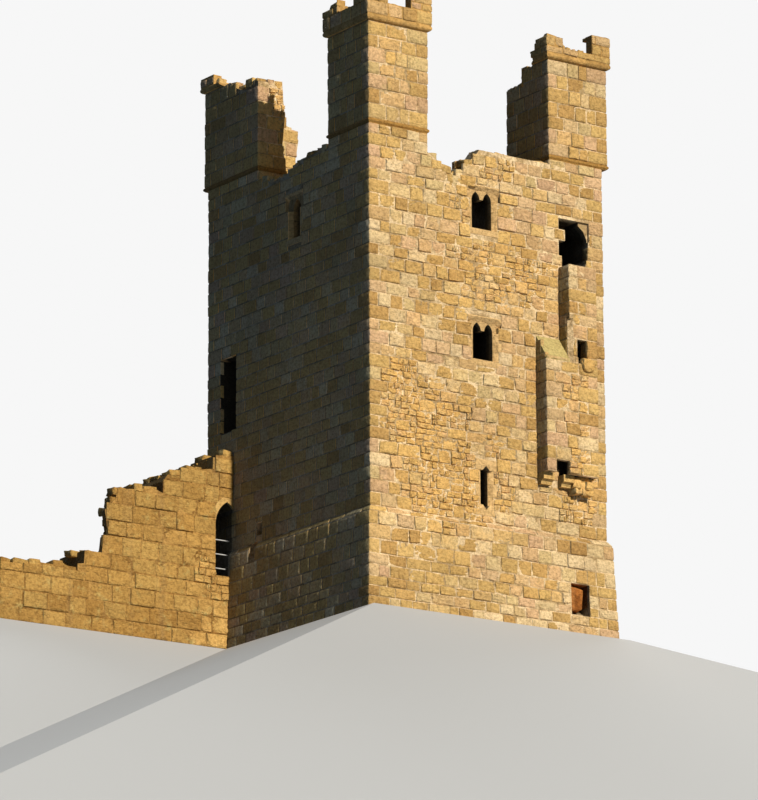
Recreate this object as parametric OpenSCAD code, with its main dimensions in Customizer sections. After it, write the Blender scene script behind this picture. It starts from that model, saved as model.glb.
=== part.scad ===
// Ruined square keep of sandstone with the stump of its curtain wall.
// Millimetres. Origin in the middle of the keep's plan, at the lowest masonry.
// The front of the keep looks along -Y, its left side along -X.

/* [Keep] */
// Side of the square keep above its plinth
keep_w = 9100; // [8400:100:9800]
// Thickness of the ground storey's walls
low_wall_t = 1950; // [1850:25:2100]
// Thickness of the first storey's walls
mid_wall_t = 1800; // [1750:25:1850]
// Thickness of the second storey's walls
top_wall_t = 1650; // [1550:25:1700]
// Height of the filled base below the ground floor
base_h = 2500; // [2300:50:2700]
// Height of the ground storey, floor to floor
low_storey_h = 4700; // [4500:50:4900]
// Height of the first storey, floor to floor
mid_storey_h = 4400; // [4250:50:4600]
// Height of the second storey, up to the wall walk
top_storey_h = 2850; // [2800:25:3000]

/* [Plinth] */
// Height of the plinth
plinth_h = 3250; // [2900:50:3400]
// Projection of the plinth below its weathering
plinth_out = 130; // [80:10:200]
// Further batter of the plinth down to its foot
plinth_batter = 110; // [0:10:200]
// Height of the sloped weathering on the plinth
weathering_h = 190; // [100:10:300]

/* [Parapets] */
// Thickness of the parapets between the turrets
parapet_t = 600; // [450:25:700]
// Height of the unbroken parapet above the wall walk
parapet_h = 920; // [760:10:1060]

/* [Turrets] */
// Side of the two front turrets
turret_w = 2240; // [2100:20:2400]
// Width of the right turret along the front
right_turret_w = 2300; // [2160:20:2440]
// Thickness of the front turrets' walls
turret_t = 480; // [400:20:560]
// Length of the larger back-left turret along the back wall
stair_turret_l = 3250; // [3100:50:3400]
// Its width along the left wall
stair_turret_w = 3100; // [2900:20:3180]
// Thickness of its walls
stair_turret_t = 650; // [550:25:700]
// How far the right and the back-left turret stand out over the wall below
lean = 230; // [100:10:260]
// Height of the turret shafts above the wall walk
shaft_h = 4450; // [4250:25:4650]
// Height of the string course round their foot, above the wall walk
foot_string_h = 1110; // [1080:10:1300]
// Projection of that string course
string_out = 50; // [40:5:100]
// Height of the turret parapets above the shafts
crown_h = 1100; // [1000:10:1200]
// Projection of the turret parapets beyond the shafts
turret_over = 110; // [90:10:160]
// Radius of the roll moulding below the turret parapets
roll_r = 100; // [80:5:120]
// Thickness of the turret parapets
merlon_t = 310; // [280:10:400]
// Width of the near turret's embrasures
crenel_w = 890; // [800:10:1000]
// Depth of the near turret's embrasures
crenel_d = 450; // [380:10:520]
// Width of the right turret's embrasures
right_crenel_w = 1090; // [950:10:1150]
// Depth of the right turret's embrasures
right_crenel_d = 660; // [560:10:700]

/* [Windows] */
// Width of one light of a two-light window
light_w = 315; // [280:5:340]
// Width of the mullion that parted the two lights
mullion_w = 130; // [100:5:160]
// End of the mullion's stub above the springing of the heads
stub_h = 30; // [10:5:60]
// Width of a single pointed light
lancet_w = 420; // [360:10:480]
// Chamfer round the lights
chamfer = 110; // [60:5:120]
// Length of the long jamb stones beside a light
long_rim_w = 270; // [220:10:320]
// Length of the short jamb stones
short_rim_w = 150; // [130:5:180]
// Height of the sill and head blocks beyond the light
rim_h = 190; // [160:5:200]
// Depth of the dressed stone
dressing_d = 430; // [380:10:500]
// How far the dressed stone stands out of the wall face
dressing_out = 15; // [10:5:40]
// Sill of the upper windows above the second floor
upper_sill_h = 1160; // [1100:10:1190]
// Height of their straight jambs
upper_jamb_h = 970; // [890:10:990]
// Sill of the middle windows above the first floor
middle_sill_h = 1290; // [1150:10:1400]
// Height of their straight jambs
middle_jamb_h = 950; // [850:10:1050]
// Distance of the front and back windows from the middle, to the left seen from outside
window_shift = 150; // [-100:10:400]
// Distance of the side windows from the middle, to the right seen from outside
side_shift = 400; // [-600:20:600]
// Inner width of the splayed embrasures
splay_w = 1350; // [1250:25:1500]

/* [Slit] */
// Width of the slit in the front of the ground storey
slit_w = 270; // [220:10:300]
// Lower point of the slit above the ground floor
slit_sill_h = 1170; // [1130:10:1300]
// Whole height of the slit
slit_h = 1410; // [1200:10:1500]

/* [Doorways] */
// Width of the entrance in the back wall
entrance_w = 1000; // [900:20:1100]
// Height of the entrance to the springing of its arch
entrance_jamb_h = 1500; // [1400:20:1700]
// Distance of the entrance from the middle
entrance_x = 1100; // [900:20:1200]
// Width of the wall-walk doorway
walk_door_w = 880; // [800:10:900]
// Height of the wall-walk doorway
walk_door_h = 2500; // [2300:20:2600]
// Wall left between that doorway and the keep's back face
walk_leaf_t = 740; // [730:5:780]

/* [Garderobe] */
// Projection of the garderobe shafts
shaft_out = 550; // [450:10:600]
// Wall between the shafts and the keep's right corner
shaft_edge_d = 700; // [600:10:800]
// Width of the upper shaft
upper_shaft_w = 1060; // [1000:10:1100]
// Width of the lower shaft
lower_shaft_w = 1990; // [1900:10:2050]
// Thickness of the shafts' stone
shaft_t = 190; // [150:5:220]
// Top of the upper shaft above the second floor
shaft_top_h = 380; // [300:10:420]
// Front edge of the lower shaft's cap above the first floor
cap_edge_h = 1560; // [1450:10:1650]
// Rise of that cap back to the wall
cap_rise = 840; // [700:20:900]
// Foot of the lower shaft below the first floor
shaft_foot_h = 2080; // [1950:10:2200]
// Height of the mural closet's breach
closet_h = 1660; // [1500:20:1700]

/* [Curtain wall] */
// Thickness of the curtain wall
curtain_t = 1480; // [1300:20:1500]
// Height of its highest remains, at the keep
curtain_h = 6360; // [6000:20:6700]
// Length of the standing part
curtain_l = 5820; // [5500:20:6100]
// Height of the low remains farther out
low_remains_h = 2230; // [2000:10:2300]
// Length of the low remains
low_remains_l = 2820; // [2500:20:3000]
// Left jamb of the doorway, from the keep's wall face
door_jamb_d = 680; // [640:10:740]
// Half the width of the doorway
door_half_w = 440; // [420:10:460]
// Threshold of the doorway
door_sill_z = 2380; // [2300:10:2500]
// Springing of the doorway's pointed arch
door_spring_z = 4050; // [3950:10:4150]
// Depth of the ring of arch stones
voussoir_h = 190; // [150:5:230]
// Diameter of the barrier rails
rail_d = 45; // [30:1:60]

/* [Hidden] */
$fn = 64;
arch_fn = 180;

stone = "burlywood";
dressed = "wheat";
timber = "saddlebrown";

half = keep_w / 2;
far = 2 * keep_w;
over = 20;
cut_out = dressing_out + over;

board_t = 40;
beam_h = 250;
beam_w = 220;
beam_count = 7;
low_room = half - low_wall_t;
mid_room = half - mid_wall_t;
top_room = half - top_wall_t;
ground_floor_z = base_h;
first_floor_z = ground_floor_z + low_storey_h;
second_floor_z = first_floor_z + mid_storey_h;
walk_z = second_floor_z + top_storey_h;
first_ledge_z = first_floor_z - board_t - beam_h;
second_ledge_z = second_floor_z - board_t - beam_h;

head_h = sqrt(3) / 2 * light_w;
lancet_head_h = sqrt(3) / 2 * lancet_w;
pair_w = 2 * light_w + mullion_w;
upper_sill_z = second_floor_z + upper_sill_h;
middle_sill_z = first_floor_z + middle_sill_h;

turret_h = shaft_h + crown_h;
near_edge = -half + turret_w;
right_edge = half + lean - right_turret_w;
stair_edge = half + lean - stair_turret_w;
near_at = [-half + turret_w / 2, -half + turret_w / 2, walk_z];
right_at = [half + lean - right_turret_w / 2, -half + turret_w / 2, walk_z];
stair_at = [-half + stair_turret_l / 2, half + lean - stair_turret_w / 2, walk_z];

// Points of a broken outline, given as shares of a width w and a height h from (x, z)
function broken(x, z, w, h, shares) = [for (s = shares) [x + s[0] * w, z + s[1] * h]];

// Half an outline and its mirror image
function both_halves(p) = concat(p, [for (i = [len(p) - 1 : -1 : 0]) [-p[i][0], p[i][1]]]);

// Block between two corners
module block(x0, x1, y0, y1, z0, z1) {
    translate([x0, y0, z0])
        cube([x1 - x0, y1 - y0, z1 - z0]);
}

// Upright outline (x, z) given a depth from y0 to y1
module upright(y0, y1) {
    translate([0, y1, 0])
        rotate([90, 0, 0])
            linear_extrude(y1 - y0)
                children();
}

// Upright outline (y, z) given a width from x0 to x1
module sideways(x0, x1) {
    translate([x0, 0, 0])
        rotate([90, 0, 90])
            linear_extrude(x1 - x0)
                children();
}

// Outline of the keep seen from one side, with the battered plinth
module keep_outline() {
    foot = half + plinth_out + plinth_batter;
    shoulder = half + plinth_out;
    polygon(both_halves([
        [-foot, 0], [-shoulder, plinth_h - weathering_h], [-half, plinth_h], [-half, walk_z + turret_h]
    ]));
}

// The keep as one mass, its plinth mitred at the corners
module keep_mass() {
    intersection() {
        upright(-far, far) keep_outline();
        sideways(-far, far) keep_outline();
    }
}

// The front wall of one storey, with both its corners
module front_slab(t, z0, z1) {
    intersection() {
        keep_mass();
        block(-far, far, -far, -half + t, z0, z1);
    }
}

// A side wall of one storey, between the front and the back wall
module side_slab(t, z0, z1) {
    intersection() {
        keep_mass();
        block(-far, -half + t, -half + t, half - t, z0, z1);
    }
}

module back_slab(t, z0, z1) {
    mirror([0, 1, 0]) front_slab(t, z0, z1);
}

// Children are drawn with their outer face on y = 0 and moved to a wall face
module on_front(x, z) {
    translate([x, -half, z]) children();
}

module on_left(y, z) {
    translate([-half, y, z]) rotate([0, 0, -90]) children();
}

module on_right(y, z) {
    translate([half, y, z]) rotate([0, 0, 90]) children();
}

module on_back(x, z) {
    translate([x, half, z]) rotate([0, 0, 180]) children();
}

// Pointed windows

// Equilateral pointed head over an opening of width w
module pointed_head(w) {
    intersection() {
        translate([w / 2, 0]) circle(r = w);
        translate([-w / 2, 0]) circle(r = w);
        translate([-w, -over / 2]) square([2 * w, w + over]);
    }
}

// Outline of one light with a pointed head
module light_outline(w, jamb_h) {
    translate([-w / 2, 0]) square([w, jamb_h]);
    translate([0, jamb_h]) pointed_head(w);
}

// Chamfer of a pointed head: two cones that meet at the apex
module head_chamfer(w) {
    h = chamfer + cut_out;
    intersection() {
        for (side = [-1, 1])
            translate([side * w / 2, -cut_out, 0])
                rotate([-90, 0, 0])
                    cylinder(h = h, r1 = w + h, r2 = w);
        block(-2 * w, 2 * w, -cut_out - over, chamfer + over, -over, 2 * w);
    }
}

// Chamfer of straight jambs over a width w and a height h
module jamb_chamfer(w, h) {
    flare = w / 2 + chamfer + cut_out;
    linear_extrude(h)
        polygon([[-flare, -cut_out], [flare, -cut_out], [w / 2, chamfer], [-w / 2, chamfer]]);
}

// One light cut through dressed stone
module light_cut(w, jamb_h) {
    upright(-cut_out, dressing_d + over) light_outline(w, jamb_h);
    jamb_chamfer(w, jamb_h);
    translate([0, 0, jamb_h]) head_chamfer(w);
}

// Two pointed heads over one opening, the mullion between them lost
module pair_cut(jamb_h) {
    step = (light_w + mullion_w) / 2;
    for (side = [-1, 1])
        translate([side * step, 0, 0]) {
            upright(-cut_out, dressing_d + over) light_outline(light_w, jamb_h);
            translate([0, 0, jamb_h]) head_chamfer(light_w);
        }
    upright(-cut_out, dressing_d + over)
        translate([-step, 0]) square([2 * step, jamb_h + stub_h]);
    jamb_chamfer(pair_w, jamb_h);
}

// Sill, long and short jamb stones and head round an opening w wide and h high
module dressing_outline(w, jamb_h, h) {
    long = w / 2 + long_rim_w;
    short = w / 2 + short_rim_w;
    course_h = jamb_h / 3;
    polygon(both_halves([
        [-long, -rim_h], [-long, 0], [-short, 0], [-short, course_h], [-long, course_h],
        [-long, 2 * course_h], [-short, 2 * course_h], [-short, jamb_h], [-long, jamb_h], [-long, h + rim_h]
    ]));
}

module dressing_block(w, jamb_h, h) {
    upright(-dressing_out, dressing_d) dressing_outline(w, jamb_h, h);
}

// Recess for the dressed stone and splayed embrasure, through a wall of thickness t
module window_way(w, jamb_h, h, t) {
    upright(-plinth_out - plinth_batter - over, dressing_d) dressing_outline(w, jamb_h, h);
    linear_extrude(h + rim_h / 2)
        polygon([[-w / 2, dressing_d - over], [w / 2, dressing_d - over],
                 [splay_w / 2, t + over], [-splay_w / 2, t + over]]);
}

module pair_dressing(jamb_h) {
    difference() {
        dressing_block(pair_w, jamb_h, jamb_h + head_h);
        pair_cut(jamb_h);
    }
}

module pair_way(jamb_h, t) {
    window_way(pair_w, jamb_h, jamb_h + head_h, t);
}

module lancet_dressing(jamb_h) {
    difference() {
        dressing_block(lancet_w, jamb_h, jamb_h + lancet_head_h);
        light_cut(lancet_w, jamb_h);
    }
}

module lancet_way(jamb_h, t) {
    window_way(lancet_w, jamb_h, jamb_h + lancet_head_h, t);
}

// Slit with a point at each end
slit_point_h = slit_w * 0.55;
slit_jamb_h = slit_h - slit_point_h;

module slit_cut() {
    upright(-cut_out, dressing_d + over)
        polygon(both_halves([
            [0, 0], [-slit_w / 2, slit_point_h], [-slit_w / 2, slit_jamb_h], [0, slit_h]
        ]));
    translate([0, 0, slit_point_h])
        jamb_chamfer(slit_w, slit_jamb_h - slit_point_h);
}

module slit_dressing() {
    difference() {
        dressing_block(slit_w, slit_jamb_h, slit_h);
        slit_cut();
    }
}

// Floors

module ground_floor() {
    color(stone)
        block(-low_room, low_room, -low_room, low_room, 0, ground_floor_z);
}

// Joists that bear on the ledges of the wall, side by side along x
module floor_beams(room, z) {
    pitch = (2 * room - beam_w) / (beam_count - 1);
    color(timber)
        for (i = [0 : beam_count - 1])
            translate([-room + i * pitch, -room, z])
                cube([beam_w, 2 * room, beam_h]);
}

module floor_boards(room, z) {
    color(timber)
        block(-room, room, -room, room, z, z + board_t);
}

module first_floor_beams() {
    floor_beams(mid_room, first_ledge_z);
}

module first_floor_boards() {
    floor_boards(mid_room, first_ledge_z + beam_h);
}

module second_floor_beams() {
    floor_beams(top_room, second_ledge_z);
}

module second_floor_boards() {
    floor_boards(top_room, second_ledge_z + beam_h);
}

// Garderobe shafts on the front wall

shaft_end_x = half - shaft_edge_d;
upper_shaft_x = shaft_end_x - upper_shaft_w;
lower_shaft_x = shaft_end_x - lower_shaft_w;
shaft_top_z = second_floor_z + shaft_top_h;
cap_z = first_floor_z + cap_edge_h;
shaft_foot_z = first_floor_z - shaft_foot_h;
shaft_y = -half - shaft_out;
chute_y = shaft_y + shaft_t;

// Hollow shaft, open to the wall behind and at both ends
module hollow_shaft(x0, z0, z1) {
    difference() {
        block(x0, shaft_end_x, shaft_y, -half, z0, z1);
        block(x0 + shaft_t, shaft_end_x - shaft_t, chute_y, -half + over, z0 - over, z1 + over);
    }
}

// Hole broken through a shaft's front, its outline given from (x, z)
module front_hole(x, z) {
    upright(shaft_y - over, chute_y + over)
        translate([x, z]) children();
}

module garderobe_lower_shaft() {
    hole = [510, 400];
    hole_x = 350;
    color(stone)
        difference() {
            hollow_shaft(lower_shaft_x, shaft_foot_z, cap_z);
            front_hole(lower_shaft_x + hole_x, shaft_foot_z)
                translate([0, -over]) square(hole + [0, over]);
        }
}

module garderobe_upper_shaft() {
    chip = 150;
    chip_h = 1450;
    color(stone)
        difference() {
            hollow_shaft(upper_shaft_x, cap_z, shaft_top_z);
            front_hole(upper_shaft_x + 290, cap_z - over)
                polygon([[40, 0], [200, 0], [200, 190], [420, 230], [420, 800], [0, 800],
                         [0, 230], [40, 190]]);
            translate([upper_shaft_x, shaft_y, cap_z - over])
                linear_extrude(chip_h)
                    polygon([[-over, -over], [chip, -over], [-over, chip]]);
        }
}

module garderobe_cap() {
    color(stone)
        sideways(lower_shaft_x, upper_shaft_x)
            polygon([[shaft_y, cap_z], [-half, cap_z], [-half, cap_z + cap_rise], [shaft_y, cap_z + 60]]);
}

// Blocks that carry the lower shaft, each hollowed below like a quadrant, the last one worn short
module garderobe_corbels() {
    corbel_w = 420;
    corbel_h = 370;
    corbel_outs = [330, 330, 150];
    pitch = (lower_shaft_w - corbel_w) / 2;
    color(dressed)
        for (i = [0 : 2])
            translate([lower_shaft_x + i * pitch, -half, shaft_foot_z - corbel_h])
                difference() {
                    block(0, corbel_w, -corbel_outs[i], 0, 0, corbel_h);
                    translate([-over, -corbel_outs[i], 0])
                        rotate([0, 90, 0])
                            cylinder(h = corbel_w + 2 * over, r = corbel_outs[i] * 0.45);
                }
}

// Front wall

// Garderobe outlet in the plinth, its bed sloping down and out
module outlet_way() {
    outlet_x = upper_shaft_x + 190;
    outlet_w = 720;
    outlet_z = 680;
    outlet_h = 1020;
    outlet_d = 650;
    sideways(outlet_x, outlet_x + outlet_w)
        polygon([[-far, outlet_z], [-half, outlet_z], [-half + outlet_d, outlet_z + 450],
                 [-half + outlet_d, outlet_z + outlet_h], [-far, outlet_z + outlet_h]]);
}

module front_wall_lower() {
    color(stone)
        difference() {
            front_slab(low_wall_t, 0, first_ledge_z);
            on_front(-window_shift, ground_floor_z + slit_sill_h)
                window_way(slit_w, slit_jamb_h, slit_h, low_wall_t);
            outlet_way();
        }
}

module front_wall_middle() {
    color(stone)
        difference() {
            front_slab(mid_wall_t, first_ledge_z, second_ledge_z);
            on_front(-window_shift, middle_sill_z) pair_way(middle_jamb_h, mid_wall_t);
        }
}

// Mural closet behind the breach over the upper shaft, one stone left hanging in its jamb.
// The facing beside its arched head has fallen too.
module closet_way() {
    spandrel_d = 80;
    upright(-far, -half + top_wall_t / 2)
        polygon(broken(upper_shaft_x, shaft_top_z, upper_shaft_w, closet_h, [
            [0.13, 0], [0.99, 0], [0.99, 0.1], [1.11, 0.28], [1.13, 0.67], [1.01, 0.83], [0.81, 0.93],
            [0.81, 1], [0.02, 1], [0.02, 0.78], [0.26, 0.78], [0.26, 0.56], [0.02, 0.56],
            [0.02, 0.25], [0.13, 0.25]
        ]));
    upright(-far, -half + spandrel_d)
        polygon(broken(upper_shaft_x, shaft_top_z, upper_shaft_w, closet_h, [
            [0.7, 0.7], [1.16, 0.62], [1.16, 1], [0.7, 1]
        ]));
    block(upper_shaft_x + 20, upper_shaft_x + 1.14 * upper_shaft_w,
          -half + top_wall_t / 2 - over, -half + top_wall_t + 850, shaft_top_z, shaft_top_z + closet_h);
}

front_gap = right_edge - near_edge;

// Breach in the wall head, down below the wall walk
module head_breach() {
    upright(-far, -half + 1100)
        polygon(broken(near_edge, walk_z, front_gap, parapet_h, [
            [0.115, 0.22], [0.157, -0.13], [0.205, -0.34], [0.258, -0.27], [0.283, 0.16]
        ]));
}

module front_wall_upper() {
    color(stone)
        difference() {
            front_slab(top_wall_t, second_ledge_z, walk_z);
            on_front(-window_shift, upper_sill_z) pair_way(upper_jamb_h, top_wall_t);
            closet_way();
            head_breach();
        }
}

// Left wall

// Small drain slots low in the left wall
module drain_slots() {
    slot_z = plinth_h + 230;
    slot_y = 1450;
    block(-far, -low_room + over, slot_y, slot_y + 330, slot_z, slot_z + 420);
    block(-far, -low_room + over, slot_y + 230, slot_y + 550, slot_z - 730, slot_z - 180);
}

module left_wall_lower() {
    color(stone)
        difference() {
            side_slab(low_wall_t, 0, first_ledge_z);
            drain_slots();
        }
}

walk_door_y = half - walk_leaf_t - walk_door_w;

module left_wall_middle() {
    color(stone)
        block(-half, -mid_room, -mid_room, walk_door_y, first_ledge_z, second_ledge_z);
}

module left_wall_upper() {
    color(stone)
        difference() {
            side_slab(top_wall_t, second_ledge_z, walk_z);
            on_left(-side_shift, upper_sill_z) lancet_way(upper_jamb_h, top_wall_t);
        }
}

// Right wall, the mirror of the left one

module right_wall_lower() {
    color(stone)
        mirror([1, 0, 0])
            side_slab(low_wall_t, 0, first_ledge_z);
}

module right_wall_middle() {
    color(stone)
        difference() {
            mirror([1, 0, 0]) side_slab(mid_wall_t, first_ledge_z, second_ledge_z);
            on_right(-side_shift, middle_sill_z) lancet_way(middle_jamb_h, mid_wall_t);
        }
}

module right_wall_upper() {
    color(stone)
        difference() {
            mirror([1, 0, 0]) side_slab(top_wall_t, second_ledge_z, walk_z);
            on_right(-side_shift, upper_sill_z) lancet_way(upper_jamb_h, top_wall_t);
            closet_way();
        }
}

// Back wall

module back_wall_lower_left() {
    color(stone)
        intersection() {
            back_slab(low_wall_t, 0, first_ledge_z);
            block(-far, entrance_x - entrance_w / 2, 0, far, 0, first_ledge_z);
        }
}

module back_wall_lower_right() {
    color(stone)
        intersection() {
            back_slab(low_wall_t, 0, first_ledge_z);
            block(entrance_x + entrance_w / 2, far, 0, far, 0, first_ledge_z);
        }
}

// Threshold and pointed arch of the entrance, with the wall over it
module back_wall_over_entrance() {
    edge = entrance_w / 2;
    color(stone)
        difference() {
            intersection() {
                back_slab(low_wall_t, 0, first_ledge_z);
                block(entrance_x - edge, entrance_x + edge, 0, far, 0, first_ledge_z);
            }
            translate([entrance_x, 0, ground_floor_z])
                upright(0, far)
                    light_outline(entrance_w, entrance_jamb_h);
        }
}

// The passage from the wall-walk doorway turns into the room here
passage_end_x = -mid_room + walk_door_w;

module back_wall_middle() {
    color(stone)
        difference() {
            intersection() {
                back_slab(mid_wall_t, first_ledge_z, second_ledge_z);
                block(passage_end_x, far, 0, far, first_ledge_z, second_ledge_z);
            }
            on_back(-window_shift, middle_sill_z) pair_way(middle_jamb_h, mid_wall_t);
        }
}

// Outer leaf of the wall beside the wall-walk doorway, with its threshold
module walk_doorway_jamb() {
    leaf_y = half - walk_leaf_t;
    color(stone) {
        block(-half, passage_end_x, leaf_y, half, first_ledge_z, second_ledge_z);
        block(-half, passage_end_x, walk_door_y, leaf_y, first_ledge_z, first_floor_z);
        block(-mid_room, passage_end_x, mid_room, walk_door_y, first_ledge_z, first_floor_z);
    }
}

module walk_doorway_lintel() {
    leaf_y = half - walk_leaf_t;
    lintel_z = first_floor_z + walk_door_h;
    color(stone) {
        block(-half, passage_end_x, walk_door_y, leaf_y, lintel_z, second_ledge_z);
        block(-mid_room, passage_end_x, mid_room, walk_door_y, lintel_z, second_ledge_z);
    }
}

module back_wall_upper() {
    color(stone)
        difference() {
            back_slab(top_wall_t, second_ledge_z, walk_z);
            on_back(-window_shift, upper_sill_z) pair_way(upper_jamb_h, top_wall_t);
        }
}

// Parapets, broken as the weather left them

module front_parapet() {
    color(stone)
        upright(-half, -half + parapet_t) {
            polygon(broken(near_edge, walk_z, front_gap, parapet_h, [
                [0, 0], [0, 0.55], [0.086, 0.29], [0.115, 0.22], [0.14, 0]
            ]));
            polygon(broken(near_edge, walk_z, front_gap, parapet_h, [
                [0.275, 0], [0.287, 0.19], [0.333, 0.52], [0.379, 0.7], [0.421, 1], [1, 1], [1, 0]
            ]));
        }
}

module left_parapet() {
    color(stone)
        sideways(-half, -half + parapet_t)
            polygon(broken(near_edge, walk_z, stair_edge - near_edge, parapet_h, [
                [0, 0], [0, 0.91], [0.386, 0.91], [0.42, 0.73], [0.53, 0.66], [0.604, 0.55],
                [0.811, 0.52], [0.856, 0.66], [1, 0.7], [1, 0]
            ]));
}

stair_end_x = -half + stair_turret_l;

module back_parapet() {
    color(stone)
        upright(half - parapet_t, half)
            polygon(broken(stair_end_x, walk_z, -near_edge - stair_end_x, parapet_h, [
                [0, 0], [0.02, 0.66], [0.222, 0.73], [0.269, 1], [0.636, 1], [0.674, 0.68],
                [0.817, 0.49], [1, 0.46], [1, 0]
            ]));
}

module right_parapet() {
    color(stone)
        sideways(half - parapet_t, half)
            polygon(broken(near_edge, walk_z, -2 * near_edge, parapet_h, [
                [0, 0], [0, 1], [0.435, 1], [0.465, 0.71], [0.652, 0.61], [0.684, 0.36],
                [1, 0.27], [1, 0]
            ]));
}

// Turrets, each drawn round its own middle from the wall walk up

// Shaft with a string course round its foot, as solid mass
module shaft_mass(wx, wy) {
    intersection() {
        upright(-far, far) shaft_outline(wx / 2);
        sideways(-far, far) shaft_outline(wy / 2);
    }
}

module shaft_outline(edge) {
    rim = edge + string_out;
    polygon(both_halves([
        [-edge, 0], [-edge, foot_string_h], [-rim, foot_string_h + string_out],
        [-rim, foot_string_h + 2 * string_out], [-edge, foot_string_h + 3 * string_out], [-edge, shaft_h]
    ]));
}

// Roll moulding and parapet above the shaft, as solid mass, both mitred at the corners
module crown_mass(wx, wy) {
    intersection() {
        upright(-far, far) crown_outline(wx / 2);
        sideways(-far, far) crown_outline(wy / 2);
    }
    intersection() {
        upright(-far, far) roll_outline(wx / 2);
        sideways(-far, far) roll_outline(wy / 2);
    }
}

module crown_outline(edge) {
    rim = edge + turret_over;
    polygon(both_halves([[-edge, shaft_h], [-rim, shaft_h + roll_r], [-rim, turret_h]]));
}

module roll_outline(edge) {
    roll_x = edge + turret_over - 0.8 * roll_r;
    roll_z = shaft_h + roll_r + over;
    translate([-roll_x, roll_z - roll_r]) square([2 * roll_x, 2 * roll_r]);
    for (side = [-1, 1])
        translate([side * roll_x, roll_z]) circle(r = roll_r);
}

// Hollow shaft with a stone platform on top
module turret_shaft(wx, wy, t) {
    platform_t = 260;
    difference() {
        shaft_mass(wx, wy);
        block(-wx / 2 + t, wx / 2 - t, -wy / 2 + t, wy / 2 - t, -over, shaft_h - platform_t);
    }
}

// Parapet ring of a turret
module turret_ring(wx, wy) {
    inner = turret_over - merlon_t;
    difference() {
        crown_mass(wx, wy);
        block(-wx / 2 - inner, wx / 2 + inner, -wy / 2 - inner, wy / 2 + inner,
              shaft_h - over, turret_h + over);
    }
}

// Embrasures through a front turret's parapet, w wide and d deep
module embrasures(w, d) {
    block(-w / 2, w / 2, -far, far, turret_h - d, turret_h + over);
    block(-far, far, -w / 2, w / 2, turret_h - d, turret_h + over);
}

// Three corbel courses that carry a front turret's inner corner over the room
module corner_corbels(edge) {
    reach = top_room + edge;
    corbel_h = 200;
    for (i = [1 : 3])
        block(-top_room, -top_room + reach * i / 3, -top_room, -top_room + reach * i / 3,
              walk_z - corbel_h * (4 - i), walk_z);
}

turret_door = [650, 1750];

module near_turret() {
    color(stone) {
        difference() {
            translate(near_at) turret_shaft(turret_w, turret_w, turret_t);
            translate([near_edge - turret_t - over, -half + parapet_t + 50, walk_z - over])
                cube([turret_t + 2 * string_out, turret_door[0], turret_door[1] + over]);
        }
        corner_corbels(near_edge);
    }
}

module near_turret_parapet() {
    color(stone)
        translate(near_at)
            difference() {
                turret_ring(turret_w, turret_w);
                embrasures(crenel_w, crenel_d);
                sideways(-far, -turret_w / 2 + 400)
                    polygon(broken(0, shaft_h, turret_w, crown_h, [
                        [0.21, 0.93], [0.36, 0.9], [0.42, 0.73], [0.7, 0.66], [0.7, 1.1], [0.21, 1.1]
                    ]));
            }
}

// What has fallen from the left side of the right turret
module right_turret_breach() {
    sideways(-far, -right_turret_w / 2 + turret_t + 200)
        polygon(broken(0, 0, turret_w, turret_h, [
            [0.7, 0.7], [0.143, 0.715], [0.138, 0.759], [-0.031, 0.787], [-0.214, 0.82], [-0.138, 0.874],
            [-0.143, 0.914], [-0.397, 0.924], [-0.5, 0.953], [-0.5, 1.1], [0.7, 1.1]
        ]));
    upright(-far, -turret_w / 2 + 600)
        polygon(broken(0, 0, right_turret_w, turret_h, [
            [-0.7, 0.958], [-0.41, 0.945], [-0.274, 0.933], [-0.27, 0.9], [-0.2, 0.89], [-0.2, 1.1],
            [-0.7, 1.1]
        ]));
}

module right_turret() {
    color(stone)
        difference() {
            union() {
                translate(right_at) turret_shaft(right_turret_w, turret_w, turret_t);
                mirror([1, 0, 0]) corner_corbels(-right_edge);
            }
            translate([half - parapet_t - 50 - turret_door[0], near_edge - turret_t - over, walk_z - over])
                cube([turret_door[0], turret_t + 2 * string_out, turret_door[1] + over]);
            block(half, far, -far, 0, 0, walk_z + foot_string_h);
            translate(right_at) right_turret_breach();
        }
}

module right_turret_parapet() {
    color(stone)
        translate(right_at)
            difference() {
                turret_ring(right_turret_w, turret_w);
                embrasures(right_crenel_w, right_crenel_d);
                right_turret_breach();
            }
}

// The back-left turret: two walls and the stub of a third, as broken outlines
module stair_left_wall() {
    sideways(-far, -stair_turret_l / 2 + stair_turret_t)
        polygon(broken(0, 0, stair_turret_w, turret_h, [
            [-0.6, 0], [-0.6, 0.68], [-0.43, 0.69], [-0.19, 0.73], [-0.05, 0.765], [0.01, 0.8],
            [0.14, 0.802], [0.2, 0.83], [0.6, 0.84], [0.6, 0]
        ]));
}

module stair_front_stub() {
    upright(-far, -stair_turret_w / 2 + stair_turret_t)
        polygon(broken(0, 0, stair_turret_l, turret_h, [
            [-0.6, 0], [-0.6, 0.74], [-0.32, 0.745], [-0.31, 0.76], [-0.212, 0.765], [-0.2, 0.66],
            [-0.18, 0.56], [-0.21, 0.37], [-0.17, 0.26], [-0.14, 0]
        ]));
}

module stair_back_wall() {
    upright(stair_turret_w / 2 - stair_turret_t, far)
        polygon(broken(0, 0, stair_turret_l, turret_h, [
            [-0.6, 0], [-0.6, 0.895], [-0.03, 0.885], [0.33, 0.722], [0.36, 0.64], [0.45, 0.637],
            [0.495, 0.59], [0.46, 0.465], [0.46, 0.2], [0.6, 0.15], [0.6, 0]
        ]));
}

module stair_turret() {
    color(stone)
        difference() {
            translate(stair_at)
                intersection() {
                    shaft_mass(stair_turret_l, stair_turret_w);
                    union() {
                        stair_left_wall();
                        stair_front_stub();
                        stair_back_wall();
                    }
                }
            block(-far, far, half, far, 0, walk_z + foot_string_h);
        }
}

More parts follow.
